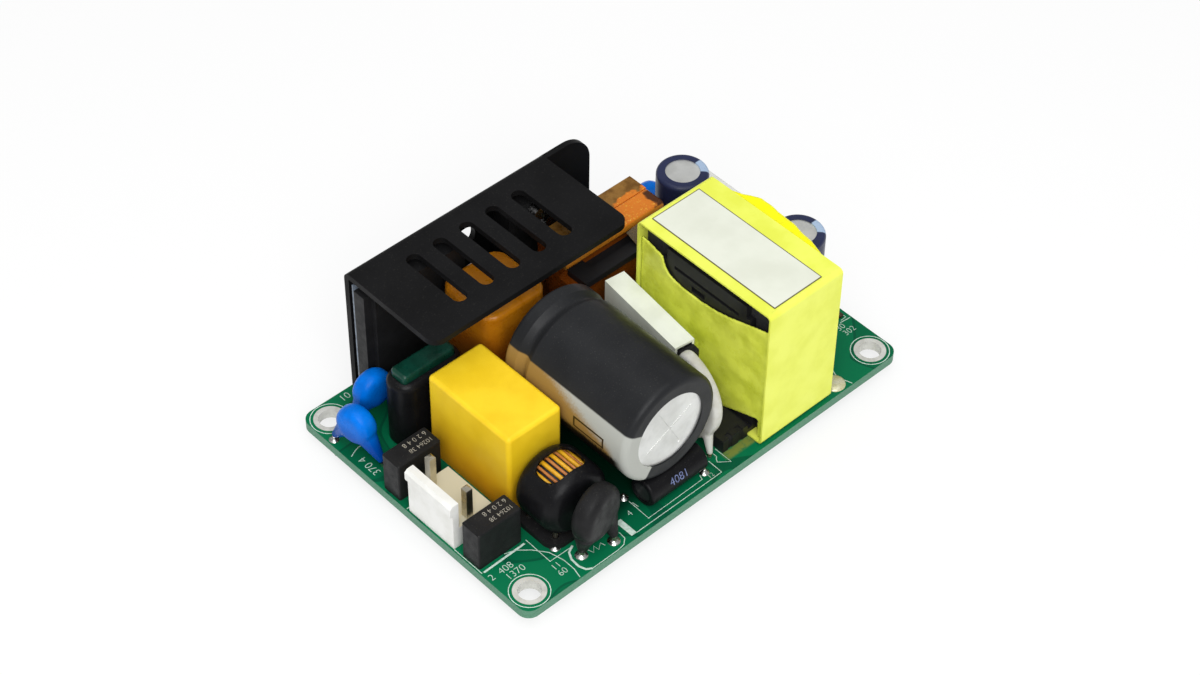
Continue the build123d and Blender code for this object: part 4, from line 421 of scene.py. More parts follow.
class Recipe:
    """The nodes of one finish, laid out round its Principled shader."""

    def __init__(self, name: str) -> None:
        """Starts a material with nothing but its shader.

        Args:
            name: the material's name.
        """
        self.material: Material = bpy.data.materials.new(name)
        self.material.use_nodes = True
        self.tree = self.material.node_tree
        self.shader: Node = self.tree.nodes["Principled BSDF"]
        self.place: NodeSocket = self.tree.nodes.new("ShaderNodeTexCoord").outputs["Object"]

    def node(self, kind: str, inputs: dict[str, object], **settings: object) -> Node:
        """Adds one node.

        Args:
            kind: the node's type, without its common first word.
            inputs: a value or a socket for each named input.
            settings: the node's own options.

        Returns:
            The node.
        """
        made = self.tree.nodes.new("ShaderNode" + kind)
        for name, value in settings.items():
            setattr(made, name, value)
        for name, value in inputs.items():
            socket = made.inputs[int(name)] if name.isdigit() else made.inputs[name]
            if isinstance(value, NodeSocket):
                self.tree.links.new(value, socket)
            else:
                socket.default_value = value
        return made

    def mapped(self, scale: Place = (1, 1, 1), centre: Place = (0, 0, 0)) -> NodeSocket:
        """Gives object coordinates in millimetres, stretched about a centre.

        Args:
            scale: how much finer the pattern gets along each axis.
            centre: the pattern's origin in millimetres.

        Returns:
            The mapped coordinates.
        """
        node = self.node(
            "Mapping",
            {
                "Vector": self.place,
                "Location": tuple(-c * s for c, s in zip(centre, scale)),
                "Scale": tuple(s / MM for s in scale),
            },
        )
        return node.outputs["Vector"]

    def noise(self, size: float, detail: float = 3.0, scale: Place = (1, 1, 1)) -> NodeSocket:
        """Gives soft noise.

        Args:
            size: how wide its patches are, in millimetres.
            detail: how many finer layers it has.
            scale: a stretch along each axis.

        Returns:
            A value about one half.
        """
        inputs = {
            "Vector": self.mapped(scale),
            "Scale": 1 / size,
            "Detail": detail,
            "Roughness": NOISE_ROUGHNESS,
        }
        return self.node("TexNoise", inputs).outputs["Fac"]

    def ramp(self, value: NodeSocket, low: float, high: float) -> NodeSocket:
        """Stretches a value's range to nought and one, with soft ends.

        Args:
            value: the value.
            low: what becomes nought.
            high: what becomes one.

        Returns:
            The stretched value.
        """
        inputs = {"Value": value, "From Min": low, "From Max": high}
        return self.node("MapRange", inputs, interpolation_type="SMOOTHSTEP").outputs["Result"]

    def calc(self, operation: str, first: object, second: object = 0.0) -> NodeSocket:
        """Works out one sum.

        Args:
            operation: the kind of sum.
            first: its first value or socket.
            second: its second.

        Returns:
            The result.
        """
        inputs = {"0": first, "1": second}
        return self.node("Math", inputs, operation=operation).outputs["Value"]

    def times(self, first: object, second: object) -> NodeSocket:
        """Multiplies two values or sockets."""
        return self.calc("MULTIPLY", first, second)

    def between(self, value: NodeSocket, low: float, high: float, soft: float) -> NodeSocket:
        """Marks where a value lies in a band.

        Args:
            value: the value.
            low: the band's start.
            high: the band's end.
            soft: the width of its edges.

        Returns:
            One inside the band and nought outside.
        """
        rise = self.ramp(value, low - soft, low + soft)
        fall = self.ramp(value, high + soft, high - soft)
        return self.times(rise, fall)

    def window(
        self, first: NodeSocket, second: NodeSocket, spans: tuple[Spot, Spot], soft: Spot
    ) -> NodeSocket:
        """Marks where two values lie in a band each.

        Args:
            first: the first value.
            second: the second.
            spans: the start and end of each band.
            soft: the width of each band's edges.

        Returns:
            One inside both bands and nought outside.
        """
        inside = self.between(first, *spans[0], soft[0])
        return self.times(inside, self.between(second, *spans[1], soft[1]))

    def blend(self, share: object, first: object, second: object) -> NodeSocket:
        """Mixes two colours.

        Args:
            share: how much of the second there is.
            first: a colour code or a socket.
            second: a colour code or a socket.

        Returns:
            The mixed colour.
        """
        # A Mix node keeps its colours in inputs 6 and 7 and gives them by output 2.
        node = self.node("Mix", {}, data_type="RGBA")
        for index, value in ((0, share), (6, first), (7, second)):
            if isinstance(value, NodeSocket):
                self.tree.links.new(value, node.inputs[index])
            else:
                node.inputs[index].default_value = paint(value) if isinstance(value, str) else value
        return node.outputs[2]

    def axes(self, centre: Place = (0, 0, 0)) -> tuple[NodeSocket, NodeSocket, NodeSocket]:
        """Gives the three coordinates in millimetres from a centre.

        Args:
            centre: the centre in millimetres.

        Returns:
            The sockets of X, Y and Z.
        """
        split = self.node("SeparateXYZ", {"Vector": self.mapped(centre=centre)})
        return tuple(split.outputs)

    def facing(self) -> tuple[NodeSocket, NodeSocket, NodeSocket]:
        """Gives the three parts of the surface's normal.

        Returns:
            The sockets of X, Y and Z.
        """
        normal = self.tree.nodes.new("ShaderNodeNewGeometry").outputs["Normal"]
        return tuple(self.node("SeparateXYZ", {"Vector": normal}).outputs)

    def feed(self, name: str, value: object) -> None:
        """Sets one input of the shader.

        Args:
            name: the input.
            value: a constant or a socket.
        """
        socket = self.shader.inputs[name]
        if isinstance(value, NodeSocket):
            self.tree.links.new(value, socket)
        else:
            socket.default_value = value

    def emboss(self, height: NodeSocket, depth: float) -> None:
        """Raises the surface by a pattern, over any pattern that it already has.

        Args:
            height: the pattern.
            depth: its height in millimetres.
        """
        inputs = {"Height": height, "Distance": depth * MM}
        if self.shader.inputs["Normal"].links:
            inputs["Normal"] = self.shader.inputs["Normal"].links[0].from_socket
        self.feed("Normal", self.node("Bump", inputs).outputs["Normal"])


@dataclass(frozen=True)
class Finish:
    """A surface with patches of a second tone, uneven gloss, fine grain and settled dust.

    Sizes are in millimetres. A span holds the values at which a pattern starts and is full.
    """

    name: str
    colour: str
    second: str
    patch: float = 3.0
    roughness: float = 0.4
    spread: float = 0.12
    grain: float = 0.12
    depth: float = 0.01
    metal: float = 0.0
    coat: float = 0.0
    coat_roughness: float = 0.15
    specular: float = 0.5
    clear: float = 0.0
    dust: float = 0.0
    ripple: float = 0.0
    ripple_size: float = 2.0
    patch_span: Spot = (0.35, 0.7)
    gloss_span: Spot = (0.3, 0.7)
    gloss_share: float = 0.6
    dust_tone: str = "#b8b4a8"
    speck_size: float = 0.22
    speck_span: Spot = (0.62, 0.72)
    upward_span: Spot = (0.2, 0.9)

    def tone(self, recipe: Recipe) -> NodeSocket:
        """Lays down the colour.

        Args:
            recipe: the nodes to add to.

        Returns:
            The colour.
        """
        patches = recipe.ramp(recipe.noise(self.patch, detail=4.0), *self.patch_span)
        return recipe.blend(patches, self.colour, self.second)

    def relief(self, recipe: Recipe) -> None:
        """Adds the grain and any slow ripple.

        Args:
            recipe: the nodes to add to.
        """
        recipe.emboss(recipe.noise(self.grain, detail=2.0), self.depth)
        if self.ripple:
            recipe.emboss(recipe.noise(self.ripple_size, detail=1.5), self.ripple)

    def mixed(self) -> Material:
        """Makes the material.

        Returns:
            The finished material.
        """
        recipe = Recipe(self.name)
        colour = self.tone(recipe)
        gloss = recipe.ramp(recipe.noise(self.patch * self.gloss_share), *self.gloss_span)
        rough = recipe.times(gloss, self.spread)
        rough = recipe.calc("ADD", rough, self.roughness - self.spread / 2)
        if self.dust:
            specks = recipe.ramp(recipe.noise(self.speck_size, detail=2.0), *self.speck_span)
            upward = recipe.ramp(recipe.facing()[2], *self.upward_span)
            share = recipe.times(recipe.times(specks, upward), self.dust)
            colour = recipe.blend(share, colour, self.dust_tone)
        recipe.feed("Base Color", colour)
        recipe.feed("Roughness", rough)
        recipe.feed("Metallic", self.metal)
        recipe.feed("Coat Weight", self.coat)
        recipe.feed("Coat Roughness", self.coat_roughness)
        recipe.feed("Specular IOR Level", self.specular)
        recipe.feed("Transmission Weight", self.clear)
        self.relief(recipe)
        return recipe.material


@dataclass(frozen=True)
class GradedFinish(Finish):
    """Coating whose colour changes along one direction, if level only where it faces up."""

    far: str = "#000000"
    axis: Axis = Axis.Z
    start: float = 0.0
    end: float = 1.0
    level: bool = False
    level_span: Spot = (0.6, 0.8)

    def tone(self, recipe: Recipe) -> NodeSocket:
        """Runs the colour over into the far one.

        Args:
            recipe: the nodes to add to.

        Returns:
            The colour.
        """
        share = recipe.ramp(recipe.axes()[self.axis.value], self.start, self.end)
        if self.level:
            share = recipe.times(share, recipe.ramp(recipe.facing()[2], *self.level_span))
        return recipe.blend(share, super().tone(recipe), self.far)


@dataclass(frozen=True)
class BoardFinish(Finish):
    """Green mask over copper planes and bare laminate, with a pale sawn edge.

    The board is darker under the storage capacitor, a painted shade, and stained at the front.
    """

    plane_size: float = 9.0
    plane_span: Spot = (0.47, 0.48)
    bare: str = "#055338"
    bare_span: Spot = (0.47, 0.5)
    bare_soft: float = 0.003
    # Painted shade on the board under the storage capacitor.
    painted_board_shade: str = "#022c1c"
    board_shade_spans: tuple[Spot, Spot] = ((-18.5, 1.0), (-20.5, 6.0))
    board_shade_soft: Spot = (2.0, 2.0)
    stain: str = "#74803a"
    stain_spans: tuple[Spot, Spot] = ((3.2, 9.4), (-23.6, -22.1))
    stain_soft: Spot = (0.5, 0.3)
    spot_size: float = 0.8
    spot_span: Spot = (0.2, 0.55)
    edge: str = "#64907a"
    edge_second: str = "#4f7d64"
    edge_span: Spot = (0.6, 0.3)
    fibre_size: float = 0.5
    fibre_stretch: Place = (1, 1, 6)
    fibre_span: Spot = (0.3, 0.7)

    def tone(self, recipe: Recipe) -> NodeSocket:
        """Lays the mask's two greens over planes and gaps, and the laminate on the edge.

        Args:
            recipe: the nodes to add to.

        Returns:
            The colour.
        """
        copper = recipe.noise(self.plane_size, detail=0.0)
        mask = recipe.blend(recipe.ramp(copper, *self.plane_span), self.second, self.colour)
        gap = recipe.between(copper, *self.bare_span, self.bare_soft)
        mask = recipe.blend(gap, mask, self.bare)
        x, y, _ = recipe.axes()
        # Painted shade: the board is darker under the storage capacitor.
        painted_shade_mask = recipe.window(x, y, self.board_shade_spans, self.board_shade_soft)
        mask = recipe.blend(painted_shade_mask, mask, self.painted_board_shade)
        spots = recipe.ramp(recipe.noise(self.spot_size), *self.spot_span)
        spots = recipe.times(spots, recipe.window(x, y, self.stain_spans, self.stain_soft))
        mask = recipe.blend(spots, mask, self.stain)
        cut = recipe.ramp(recipe.calc("ABSOLUTE", recipe.facing()[2]), *self.edge_span)
        fibres = recipe.noise(self.fibre_size, scale=self.fibre_stretch)
        side = recipe.blend(recipe.ramp(fibres, *self.fibre_span), self.edge, self.edge_second)
        return recipe.blend(cut, mask, side)


@dataclass(frozen=True)
class StripedSleeve(Finish):
    """Shrunk sleeve with one printed stripe along it, between two angles round its axis."""

    stripe: str = "#b9bbb4"
    axis: Axis = Axis.Y
    centres: tuple[Place, ...] = ((0.0, 0.0, 0.0),)
    start: float = 150.0
    end: float = 236.0
    soft: float = 0.012

    def band(self, recipe: Recipe, centre: Place) -> NodeSocket:
        """Marks the stripe round one can.

        Args:
            recipe: the nodes to add to.
            centre: a point on the can's axis, in millimetres.

        Returns:
            One on the stripe and nought elsewhere.
        """
        x, y, z = recipe.axes(centre)
        first, second = (x, z) if self.axis is Axis.Y else (x, y)
        middle = math.radians((self.start + self.end) / 2)
        edge = math.cos(math.radians((self.end - self.start) / 2))
        along = recipe.times(first, math.cos(middle))
        across = recipe.times(second, math.sin(middle))
        squares = recipe.calc("ADD", recipe.times(first, first), recipe.times(second, second))
        reach = recipe.calc("SQRT", squares)
        cosine = recipe.calc("DIVIDE", recipe.calc("ADD", along, across), reach)
        return recipe.ramp(cosine, edge - self.soft, edge + self.soft)

    def tone(self, recipe: Recipe) -> NodeSocket:
        """Lays the stripe over the sleeve.

        Args:
            recipe: the nodes to add to.

        Returns:
            The colour.
        """
        colour = super().tone(recipe)
        for centre in self.centres:
            colour = recipe.blend(self.band(recipe, centre), colour, self.stripe_tone(recipe))
        return colour

    def stripe_tone(self, recipe: Recipe) -> object:
        """Gives the stripe's colour.

        Args:
            recipe: the nodes to add to.

        Returns:
            A colour code or a socket.
        """
        return self.stripe


@dataclass(frozen=True)
class StorageSleeve(StripedSleeve):
    """Striped sleeve whose stripe bears an empty frame, a painted tan reflection of the yellow box
    and painted shade.
    """

    # Painted reflection of the yellow box: tan on the stripe below a line that leans along the can.
    glow: str = "#94753f"
    reflection_y: Spot = (-20.8, -18.8)
    reflection_z: Spot = (20.2, 17.6)
    lean: float = 0.35
    lean_y: float = -12.0
    # Painted shade on the stripe's lower part at the front.
    painted_shade: str = "#16120e"
    painted_shade_y: Spot = (-22.0, -20.0)
    painted_shade_z: Spot = (14.3, 13.0)
    stray: float = 1.6
    stray_size: float = 0.35
    ink: str = "#33260f"
    frame_y: Spot = (-18.3, -12.0)
    frame_z: Spot = (14.85, 16.9)
    line: float = 0.34
    line_soft: float = 0.03

    def stripe_tone(self, recipe: Recipe) -> object:
        """Paints a tan reflection of the yellow box and shade low on the stripe, and prints the
        frame.

        Args:
            recipe: the nodes to add to.

        Returns:
            The stripe's colour.
        """
        _, y, z = recipe.axes()
        lean = recipe.times(recipe.calc("SUBTRACT", y, self.lean_y), self.lean)
        leaned = recipe.calc("SUBTRACT", z, lean)
        stray = recipe.times(recipe.noise(self.stray_size, detail=2.0), self.stray)
        # Painted reflection of the yellow box on the stripe.
        low = recipe.ramp(recipe.calc("ADD", leaned, stray), *self.reflection_z)
        low = recipe.times(low, recipe.ramp(y, *self.reflection_y))
        # Painted shade on the stripe's lower part at the front.
        painted_shade_mask = recipe.ramp(recipe.calc("SUBTRACT", z, stray), *self.painted_shade_z)
        painted_shade_mask = recipe.times(painted_shade_mask, recipe.ramp(y, *self.painted_shade_y))
        colour = recipe.blend(low, self.stripe, self.glow)
        colour = recipe.blend(painted_shade_mask, colour, self.painted_shade)
        outer, inner = self.box(recipe, y, z, 0.0), self.box(recipe, y, z, self.line)
        return recipe.blend(recipe.calc("SUBTRACT", outer, inner), colour, self.ink)

    def box(self, recipe: Recipe, y: NodeSocket, z: NodeSocket, inset: float) -> NodeSocket:
        """Marks the inside of a rectangle on the stripe.

        Args:
            recipe: the nodes to add to.
            y: the place along the can.
            z: the height.
            inset: how far inside the frame's outline it ends, in millimetres.

        Returns:
            One inside the rectangle.
        """
        spans = tuple((low + inset, high - inset) for low, high in (self.frame_y, self.frame_z))
        return recipe.window(y, z, spans, (self.line_soft, self.line_soft))


@dataclass(frozen=True)
class WrappedTape(Finish):
    """Amber tape in layers: open orange wraps on top, tan film behind them, brown painted shade
    below.
    """

    orange: str = "#d2761f"
    top_z: Spot = (19.2, 19.6)
    wrap_y: Spot = (14.0, 13.5)
    fleck: str = "#e2a83c"
    fleck_size: float = 0.3
    fleck_span: Spot = (0.64, 0.7)
    stray: float = 4.0
    stray_size: float = 2.5
    stray_middle: float = 0.5
    # Painted shadow of the neighbouring capacitor on the top's far corner.
    painted_shade: str = "#4a2508"
    painted_shade_x: Spot = (19.1, 19.7)
    painted_shade_y: Spot = (13.0, 12.4)
    brow: str = "#b36f1f"
    brow_y: Spot = (9.3, 9.1)
    brow_z: Spot = (18.8, 19.7)
    brow_soft: float = 0.1
    # Painted shade: the amber tape below the top layer darkened to brown.
    low: str = "#7a3c0a"
    low_z: Spot = (18.7, 18.3)

    def tone(self, recipe: Recipe) -> NodeSocket:
        """Lays the layers by where they lie, with a painted shadow on the top's far corner and
        painted shade below.

        Args:
            recipe: the nodes to add to.

        Returns:
            The colour.
        """
        x, y, z = recipe.axes()
        noise = recipe.noise(self.stray_size, detail=2.0)
        stray = recipe.times(recipe.calc("SUBTRACT", noise, self.stray_middle), self.stray)
        along, across = recipe.calc("ADD", x, stray), recipe.calc("SUBTRACT", y, stray)
        top = recipe.ramp(z, *self.top_z)
        wraps = recipe.times(top, recipe.ramp(across, *self.wrap_y))
        flecks = recipe.ramp(recipe.noise(self.fleck_size, detail=1.0), *self.fleck_span)
        colour = super().tone(recipe)
        colour = recipe.blend(wraps, colour, recipe.blend(flecks, self.orange, self.fleck))
        # Painted shadow on the top's far corner.
        shadow_corner = recipe.times(recipe.ramp(along, *self.painted_shade_x), recipe.ramp(y, *self.painted_shade_y))
        colour = recipe.blend(recipe.times(shadow_corner, top), colour, self.painted_shade)
        edge = recipe.between(z, *self.brow_z, self.brow_soft)
        edge = recipe.times(edge, recipe.ramp(y, *self.brow_y))
        colour = recipe.blend(edge, colour, self.brow)
        # Painted shade below the top layer.
        return recipe.blend(recipe.ramp(z, *self.low_z), colour, self.low)


@dataclass(frozen=True)
class BorderedLabel(Finish):
    """Blank paper with a thin dark line round its edge."""

    centre: Place = (15.1, -11.4, 0.0)
    half: Spot = (4.66, 12.41)
    line: str = "#5d553f"
    line_soft: float = 0.03

    def tone(self, recipe: Recipe) -> NodeSocket:
        """Lays the paper inside the line.

        Args:
            recipe: the nodes to add to.

        Returns:
            The colour.
        """
        x, y, _ = recipe.axes(self.centre)
        spans = tuple((-half, half) for half in self.half)
        inside = recipe.window(x, y, spans, (self.line_soft, self.line_soft))
        return recipe.blend(inside, self.line, super().tone(recipe))


class Palette:
    """Every finish of the module, mixed once."""

    FINISHES: tuple[Finish, ...] = (
        BoardFinish(
            "board", "#066b45", "#04603e", patch=6.0, roughness=0.42, spread=0.1, grain=0.25,
            depth=0.006, specular=0.08,
        ),
        Finish(
            "bright_metal", "#d3cdbb", "#bab4a3", patch=2.5, roughness=0.3, spread=0.06, grain=0.3,
            depth=0.002, metal=1.0,
        ),
        Finish(
            "black_metal", "#151516", "#101011", patch=8.0, roughness=0.5, spread=0.1, grain=0.1,
            depth=0.006, specular=0.08, dust=0.03,
        ),
        Finish(
            "aluminium_can", "#e2e3e1", "#cfd0cd", patch=4.0, roughness=0.42, spread=0.15,
            grain=0.15, depth=0.008, metal=0.8,
        ),
        Finish(
            "steel_screw", "#9a9a9a", "#6f6f70", patch=0.7, roughness=0.3, spread=0.2, grain=0.1,
            depth=0.01, metal=1.0,
        ),
        Finish(
            "black_moulding", "#1d1d1e", "#222223", patch=2.5, roughness=0.42, spread=0.2,
            grain=0.12, depth=0.015, specular=0.1, dust=0.05,
        ),
        Finish(
            "black_sleeve", "#141416", "#101012", patch=2.0, roughness=0.36, spread=0.12, grain=0.3,
            depth=0.012, specular=0.12, ripple=0.08, dust=0.05,
        ),
        GradedFinish(
            "yellow_box", "#f4cf26", "#eac31c", patch=6.0, roughness=0.42, spread=0.15, grain=0.18,
            depth=0.02, specular=0.25, dust=0.05, far="#d08b10", start=15.0, end=-1.0,
        ),
        # Cream and darker on the low upward faces: partly the base's cream tone, partly painted
        # shade.
        GradedFinish(
            "white_plastic", "#e9e9e6", "#dfdfda", patch=3.0, roughness=0.4, spread=0.15,
            grain=0.15, depth=0.01, specular=0.3, far="#c9c4ae", start=8.0, end=6.5, level=True,
        ),
        Finish(
            "white_cover", "#e9ede0", "#dde1d2", patch=5.0, roughness=0.45, spread=0.15, grain=0.2,
            depth=0.012, specular=0.3,
        ),
        Finish(
            "white_coating", "#c9c9c3", "#b9b7ab", patch=2.0, roughness=0.42, spread=0.2,
            grain=0.25, depth=0.02, specular=0.3, ripple=0.1,
        ),
        # Darker blue towards the foot of each disc: painted shade.
        GradedFinish(
            "blue_coating", "#0070da", "#0067cb", patch=1.5, roughness=0.3, spread=0.1, grain=0.3,
            depth=0.008, specular=0.1, ripple=0.03, far="#01429a", start=9.5, end=4.5,
        ),
        Finish(
            "green_coating", "#0b3f32", "#083025", patch=2.0, roughness=0.3, spread=0.1, grain=0.3,
            depth=0.01, specular=0.3,
        ),
        Finish(
            "yellow_tape", "#e5ec62", "#dce350", patch=5.0, roughness=0.36, spread=0.12, grain=0.2,
            depth=0.008, specular=0.25,
        ),
        GradedFinish(
            "amber_tape", "#c27a12", "#b06a0c", patch=3.0, roughness=0.3, spread=0.12, grain=0.3,
            depth=0.01, specular=0.35, far="#9a540c", start=17.5, end=12.0,
        ),
        GradedFinish(
            "fold_tape", "#e3ea5c", "#d9e04c", patch=5.0, roughness=0.36, spread=0.12, grain=0.2,
            depth=0.008, specular=0.25, far="#f6f205", axis=Axis.X, start=21.6, end=22.2,
        ),
        Finish(
            "clear_film", "#c9963f", "#d8a95c", patch=3.0, roughness=0.2, spread=0.1, grain=0.3,
            depth=0.01, specular=0.4, clear=0.7,
        ),
        Finish(
            "thermal_pad", "#151517", "#101012", patch=2.0, roughness=0.7, spread=0.1, grain=0.1,
            depth=0.02, specular=0.1,
        ),
        Finish(
            "film_edge", "#7f8a98", "#59626e", patch=0.8, roughness=0.35, spread=0.1, grain=0.2,
            depth=0.006, specular=0.3,
        ),
        Finish(
            "glossy_moulding", "#1f1f21", "#1c1c1e", patch=2.0, roughness=0.34, spread=0.06,
            grain=0.3, depth=0.003, specular=0.16,
        ),
        Finish(
            "dark_can", "#26292a", "#1b1d1e", patch=1.5, roughness=0.35, spread=0.1, grain=0.15,
            depth=0.008, specular=0.2,
        ),
        Finish(
            "flooded_pad", "#d6d3b4", "#c3bf82", patch=1.2, roughness=0.3, spread=0.1, grain=0.3,
            depth=0.006, metal=0.3,
        ),
        BorderedLabel(
            "paper_label", "#dcdfd1", "#d4d7c8", patch=7.0, roughness=0.5, spread=0.1, grain=0.25,
            depth=0.006, ripple=0.02,
        ),
        Finish(
            "ferrite", "#2c2c2e", "#3a3a3c", patch=0.4, roughness=0.6, spread=0.15, grain=0.1,
            depth=0.02, specular=0.2,
        ),
        Finish(
            "copper_winding", "#bd7a40", "#a35f28", patch=1.0, roughness=0.25, spread=0.1,
            grain=0.1, depth=0.004, coat=0.5,
        ),
        Finish(
            "solder", "#c4c5c2", "#a6a7a3", patch=0.6, roughness=0.25, spread=0.2, grain=0.2,
            depth=0.01, metal=1.0,
        ),
        StorageSleeve(
            "storage_sleeve", "#222325", "#1e1f21", patch=5.0, roughness=0.4, spread=0.12,
            grain=0.2, depth=0.012, specular=0.15, dust=0.04, stripe="#a8aaa4", start=154.0,
            centres=((-8.3, 0.0, 15.75),),
        ),
        StripedSleeve(
            "navy_sleeve", "#262c4c", "#202644", patch=3.0, roughness=0.35, spread=0.12, grain=0.2,
            depth=0.01, specular=0.25, stripe="#9fb4cf", axis=Axis.Z,
            centres=((26.6, 11.2, 0.0), (30.1, -10.1, 0.0)), start=-45.0, end=0.0,
        ),
        WrappedTape(
            "boost_tape", "#8a632b", "#684512", patch=1.6, roughness=0.3, spread=0.12, grain=0.3,
            depth=0.01, specular=0.3, ripple=0.05,
        ),
        Finish(
            "film_flap", "#6d5731", "#5b4724", patch=1.0, roughness=0.25, spread=0.1, grain=0.3,
            depth=0.01, specular=0.3, clear=0.35,
        ),
        Finish(
            "loose_tape", "#e2ea58", "#c9d240", patch=3.2, roughness=0.3, spread=0.12, grain=0.2,
            depth=0.008, specular=0.3, ripple=0.12, ripple_size=4.0,
        ),
        Finish(
            "tinned_ring", "#dcdcd6", "#c9c9c2", patch=1.2, roughness=0.35, spread=0.15, grain=0.2,
            depth=0.006, metal=0.35,
        ),
        Finish(
            "print_white", "#cfe0d6", "#b3cabd", patch=0.5, roughness=0.5, spread=0.1, grain=0.1,
            depth=0.004, specular=0.2,
        ),
        Finish(
            "brown_chip", "#41301f", "#2f2318", patch=0.5, roughness=0.45, spread=0.1, grain=0.1,
            depth=0.006, specular=0.3,
        ),
        Finish(
            "fuse_print", "#cfcabb", "#a7a296", patch=0.5, roughness=0.5, spread=0.1, grain=0.1,
            depth=0.004, specular=0.2,
        ),
        Finish(
            "sleeve_print", "#7681a8", "#5d668c", patch=0.5, roughness=0.5, spread=0.1, grain=0.1,
            depth=0.004, specular=0.2,
        ),
        Finish(
            "yellow_wire", "#dca722", "#cf9416", patch=0.6, roughness=0.25, spread=0.1, grain=0.1,
            depth=0.004, coat=0.4,
        ),
    )

    def __init__(self) -> None:
        """Mixes all the finishes."""
        self.materials: dict[str, Material] = {f.name: f.mixed() for f in self.FINISHES}

    def __getitem__(self, name: str) -> Material:
        """Gives one finish by name."""
        return self.materials[name]


@dataclass
class BoardPrint:
    """White print and solder on the board's upper face."""

    line: float = 0.13
    bold: float = 0.34
    lift: float = 0.02
    ring_radius: float = 3.0
    hole_x: float = 34.925
    hole_y: float = 22.225
    outlines: tuple[tuple[Spot, ...], ...] = (
        ((-37.8, -9.4), (-37.8, -15.4)),
        (
            (-33.1, -14.8),
            (-31.4, -15.4),
            (-29.7, -16.9),
            (-28.2, -18.9),
            (-27.6, -21.4),
            (-27.6, -23.5),
            (-28.0, -25.2),
        ),
        ((-29.1, -14.9), (-29.2, -20.2), (-25.1, -20.3)),
        ((-25.6, -25.2), (-20.6, -25.2), (-19.3, -25.0), (-18.4, -24.2), (-18.3, -22.9)),
        (
            (-23.8, -22.3),
            (-23.5, -23.2),
            (-22.7, -22.3),
            (-22.6, -23.3),
            (-21.6, -22.5),
            (-21.4, -23.3),
        ),
        ((-13.2, -19.6), (-13.3, -23.8), (-2.4, -23.7), (-2.1, -22.9)),
        ((-13.0, -20.1), (-12.9, -21.2)),
        ((-16.4, -24.6), (0.7, -24.6), (0.8, -21.8)),
        ((2.3, -21.2), (2.3, -21.9), (1.9, -22.3), (1.6, -22.8), (3.2, -24.1), (3.2, -20.7)),
        ((27.7, -21.2), (27.3, -22.2), (27.3, -23.4), (27.9, -25.2)),
        ((35.8, -15.1), (37.8, -15.3)),
        ((36.3, -12.6), (37.4, -12.6), (37.4, -14.8), (36.3, -14.8)),
        ((-37.4, 14.2), (-36.6, 14.6), (-35.4, 15.0), (-34.4, 14.9)),
        ((-35.3, 9.95), (-34.65, 8.7), (-33.6, 9.4)),
        ((-37.9, 1.0), (-35.5, 1.0)),
    )
    bold_lines: tuple[tuple[Spot, ...], ...] = (
        ((-37.5, -15.4), (-29.7, -15.3)),
        (
            (-24.9, -20.2),
            (-26.1, -20.8),
            (-26.7, -22.0),
            (-26.8, -23.6),
            (-26.4, -24.7),
            (-25.6, -25.2),
        ),
    )
    broad: float = 1.0
    broad_lines: tuple[tuple[Spot, ...], ...] = (((-16.9, -21.2), (-16.9, -24.6)),)
    numbers: tuple[tuple[str, float, float, float, float], ...] = (
        ("10", -31.4, 23.6, 1.3, 0.0),
        ("2  408", -37.7, -17.4, 1.2, 0.0),
        ("1370", -35.8, -18.9, 1.2, 0.0),
        ("11", -29.9, -21.9, 1.1, 0.0),
        ("60", -29.9, -23.3, 1.1, 0.0),
        ("4", -15.1, -21.8, 1.1, 0.0),
        ("12", -1.5, -24.35, 0.8, 0.0),
        ("30", 34.4, -16.3, 1.1, 0.0),
        ("302", 34.5, -17.7, 1.1, 0.0),
        ("370 4", -36.0, 8.9, 1.3, 90.0),
    )
    fillets: tuple[tuple[float, float, float], ...] = (
        (-37.1, 18.6, 0.8),
        (-26.9, -18.7, 0.9),
        (-25.1, -22.3, 1.0),
        (-19.9, -23.5, 1.0),
        (-13.3, -18.5, 0.8),
        (-1.2, -22.9, 0.8),
    )
    fillet_profile: tuple[Spot, ...] = (
        (1.0, 0.0),
        (0.94, 0.07),
        (0.72, 0.16),
        (0.5, 0.32),
        (0.36, 0.6),
        (0.2, 0.72),
    )
    pad_place: Place = (25.8, -23.4, BOARD_TOP)
    pad_profile: tuple[Spot, ...] = (
        (1.75, 0.0),
        (1.7, 0.14),
        (1.4, 0.3),
        (0.9, 0.42),
        (0.3, 0.46),
    )
    chip: Slab = Slab((36.8, -13.7, BOARD_TOP + 0.25), (0.8, 1.6, 0.5), 0.06, 2)
    ring_sides: int = 48
    pad_sides: int = 32
    fillet_sides: int = 20

    def make(self, palette: Palette) -> None:
        """Prints the lines and numbers, sets the solder and the small brown chip.

        Args:
            palette: the finishes.
        """
        parts = [
            Bench.stroke([(x, y, BOARD_TOP) for x, y in line], width, self.lift)
            for width, lines in (
                (self.line, self.outlines),
                (self.bold, self.bold_lines),
                (self.broad, self.broad_lines),
            )
            for line in lines
        ]
        parts += [self.hole_ring(sx, sy) for sx in (-1, 1) for sy in (-1, 1)]
        parts += [
            Bench.digits(text, (x, y, BOARD_TOP), size, turn, self.lift)
            for text, x, y, size, turn in self.numbers
        ]
        beads = [self.fillet(*fillet) for fillet in self.fillets]
        flood = Bench.turned(self.pad_profile, self.pad_place, self.pad_sides)
        for piece, name, finish, slot, sharp in (
            (Bench.join(parts), "board_print", "print_white", None, SHARP_EDGE),
            (Bench.join(beads), "upper_solder", "solder", "solder", ROUND_EDGE),
            (flood, "flooded_pad", "flooded_pad", "solder", ROUND_EDGE),
            (self.chip.made(), "small_chip", "brown_chip", None, SHARP_EDGE),
        ):
            Bench.finish(piece, name, palette[finish], slot=slot, sharp=sharp)

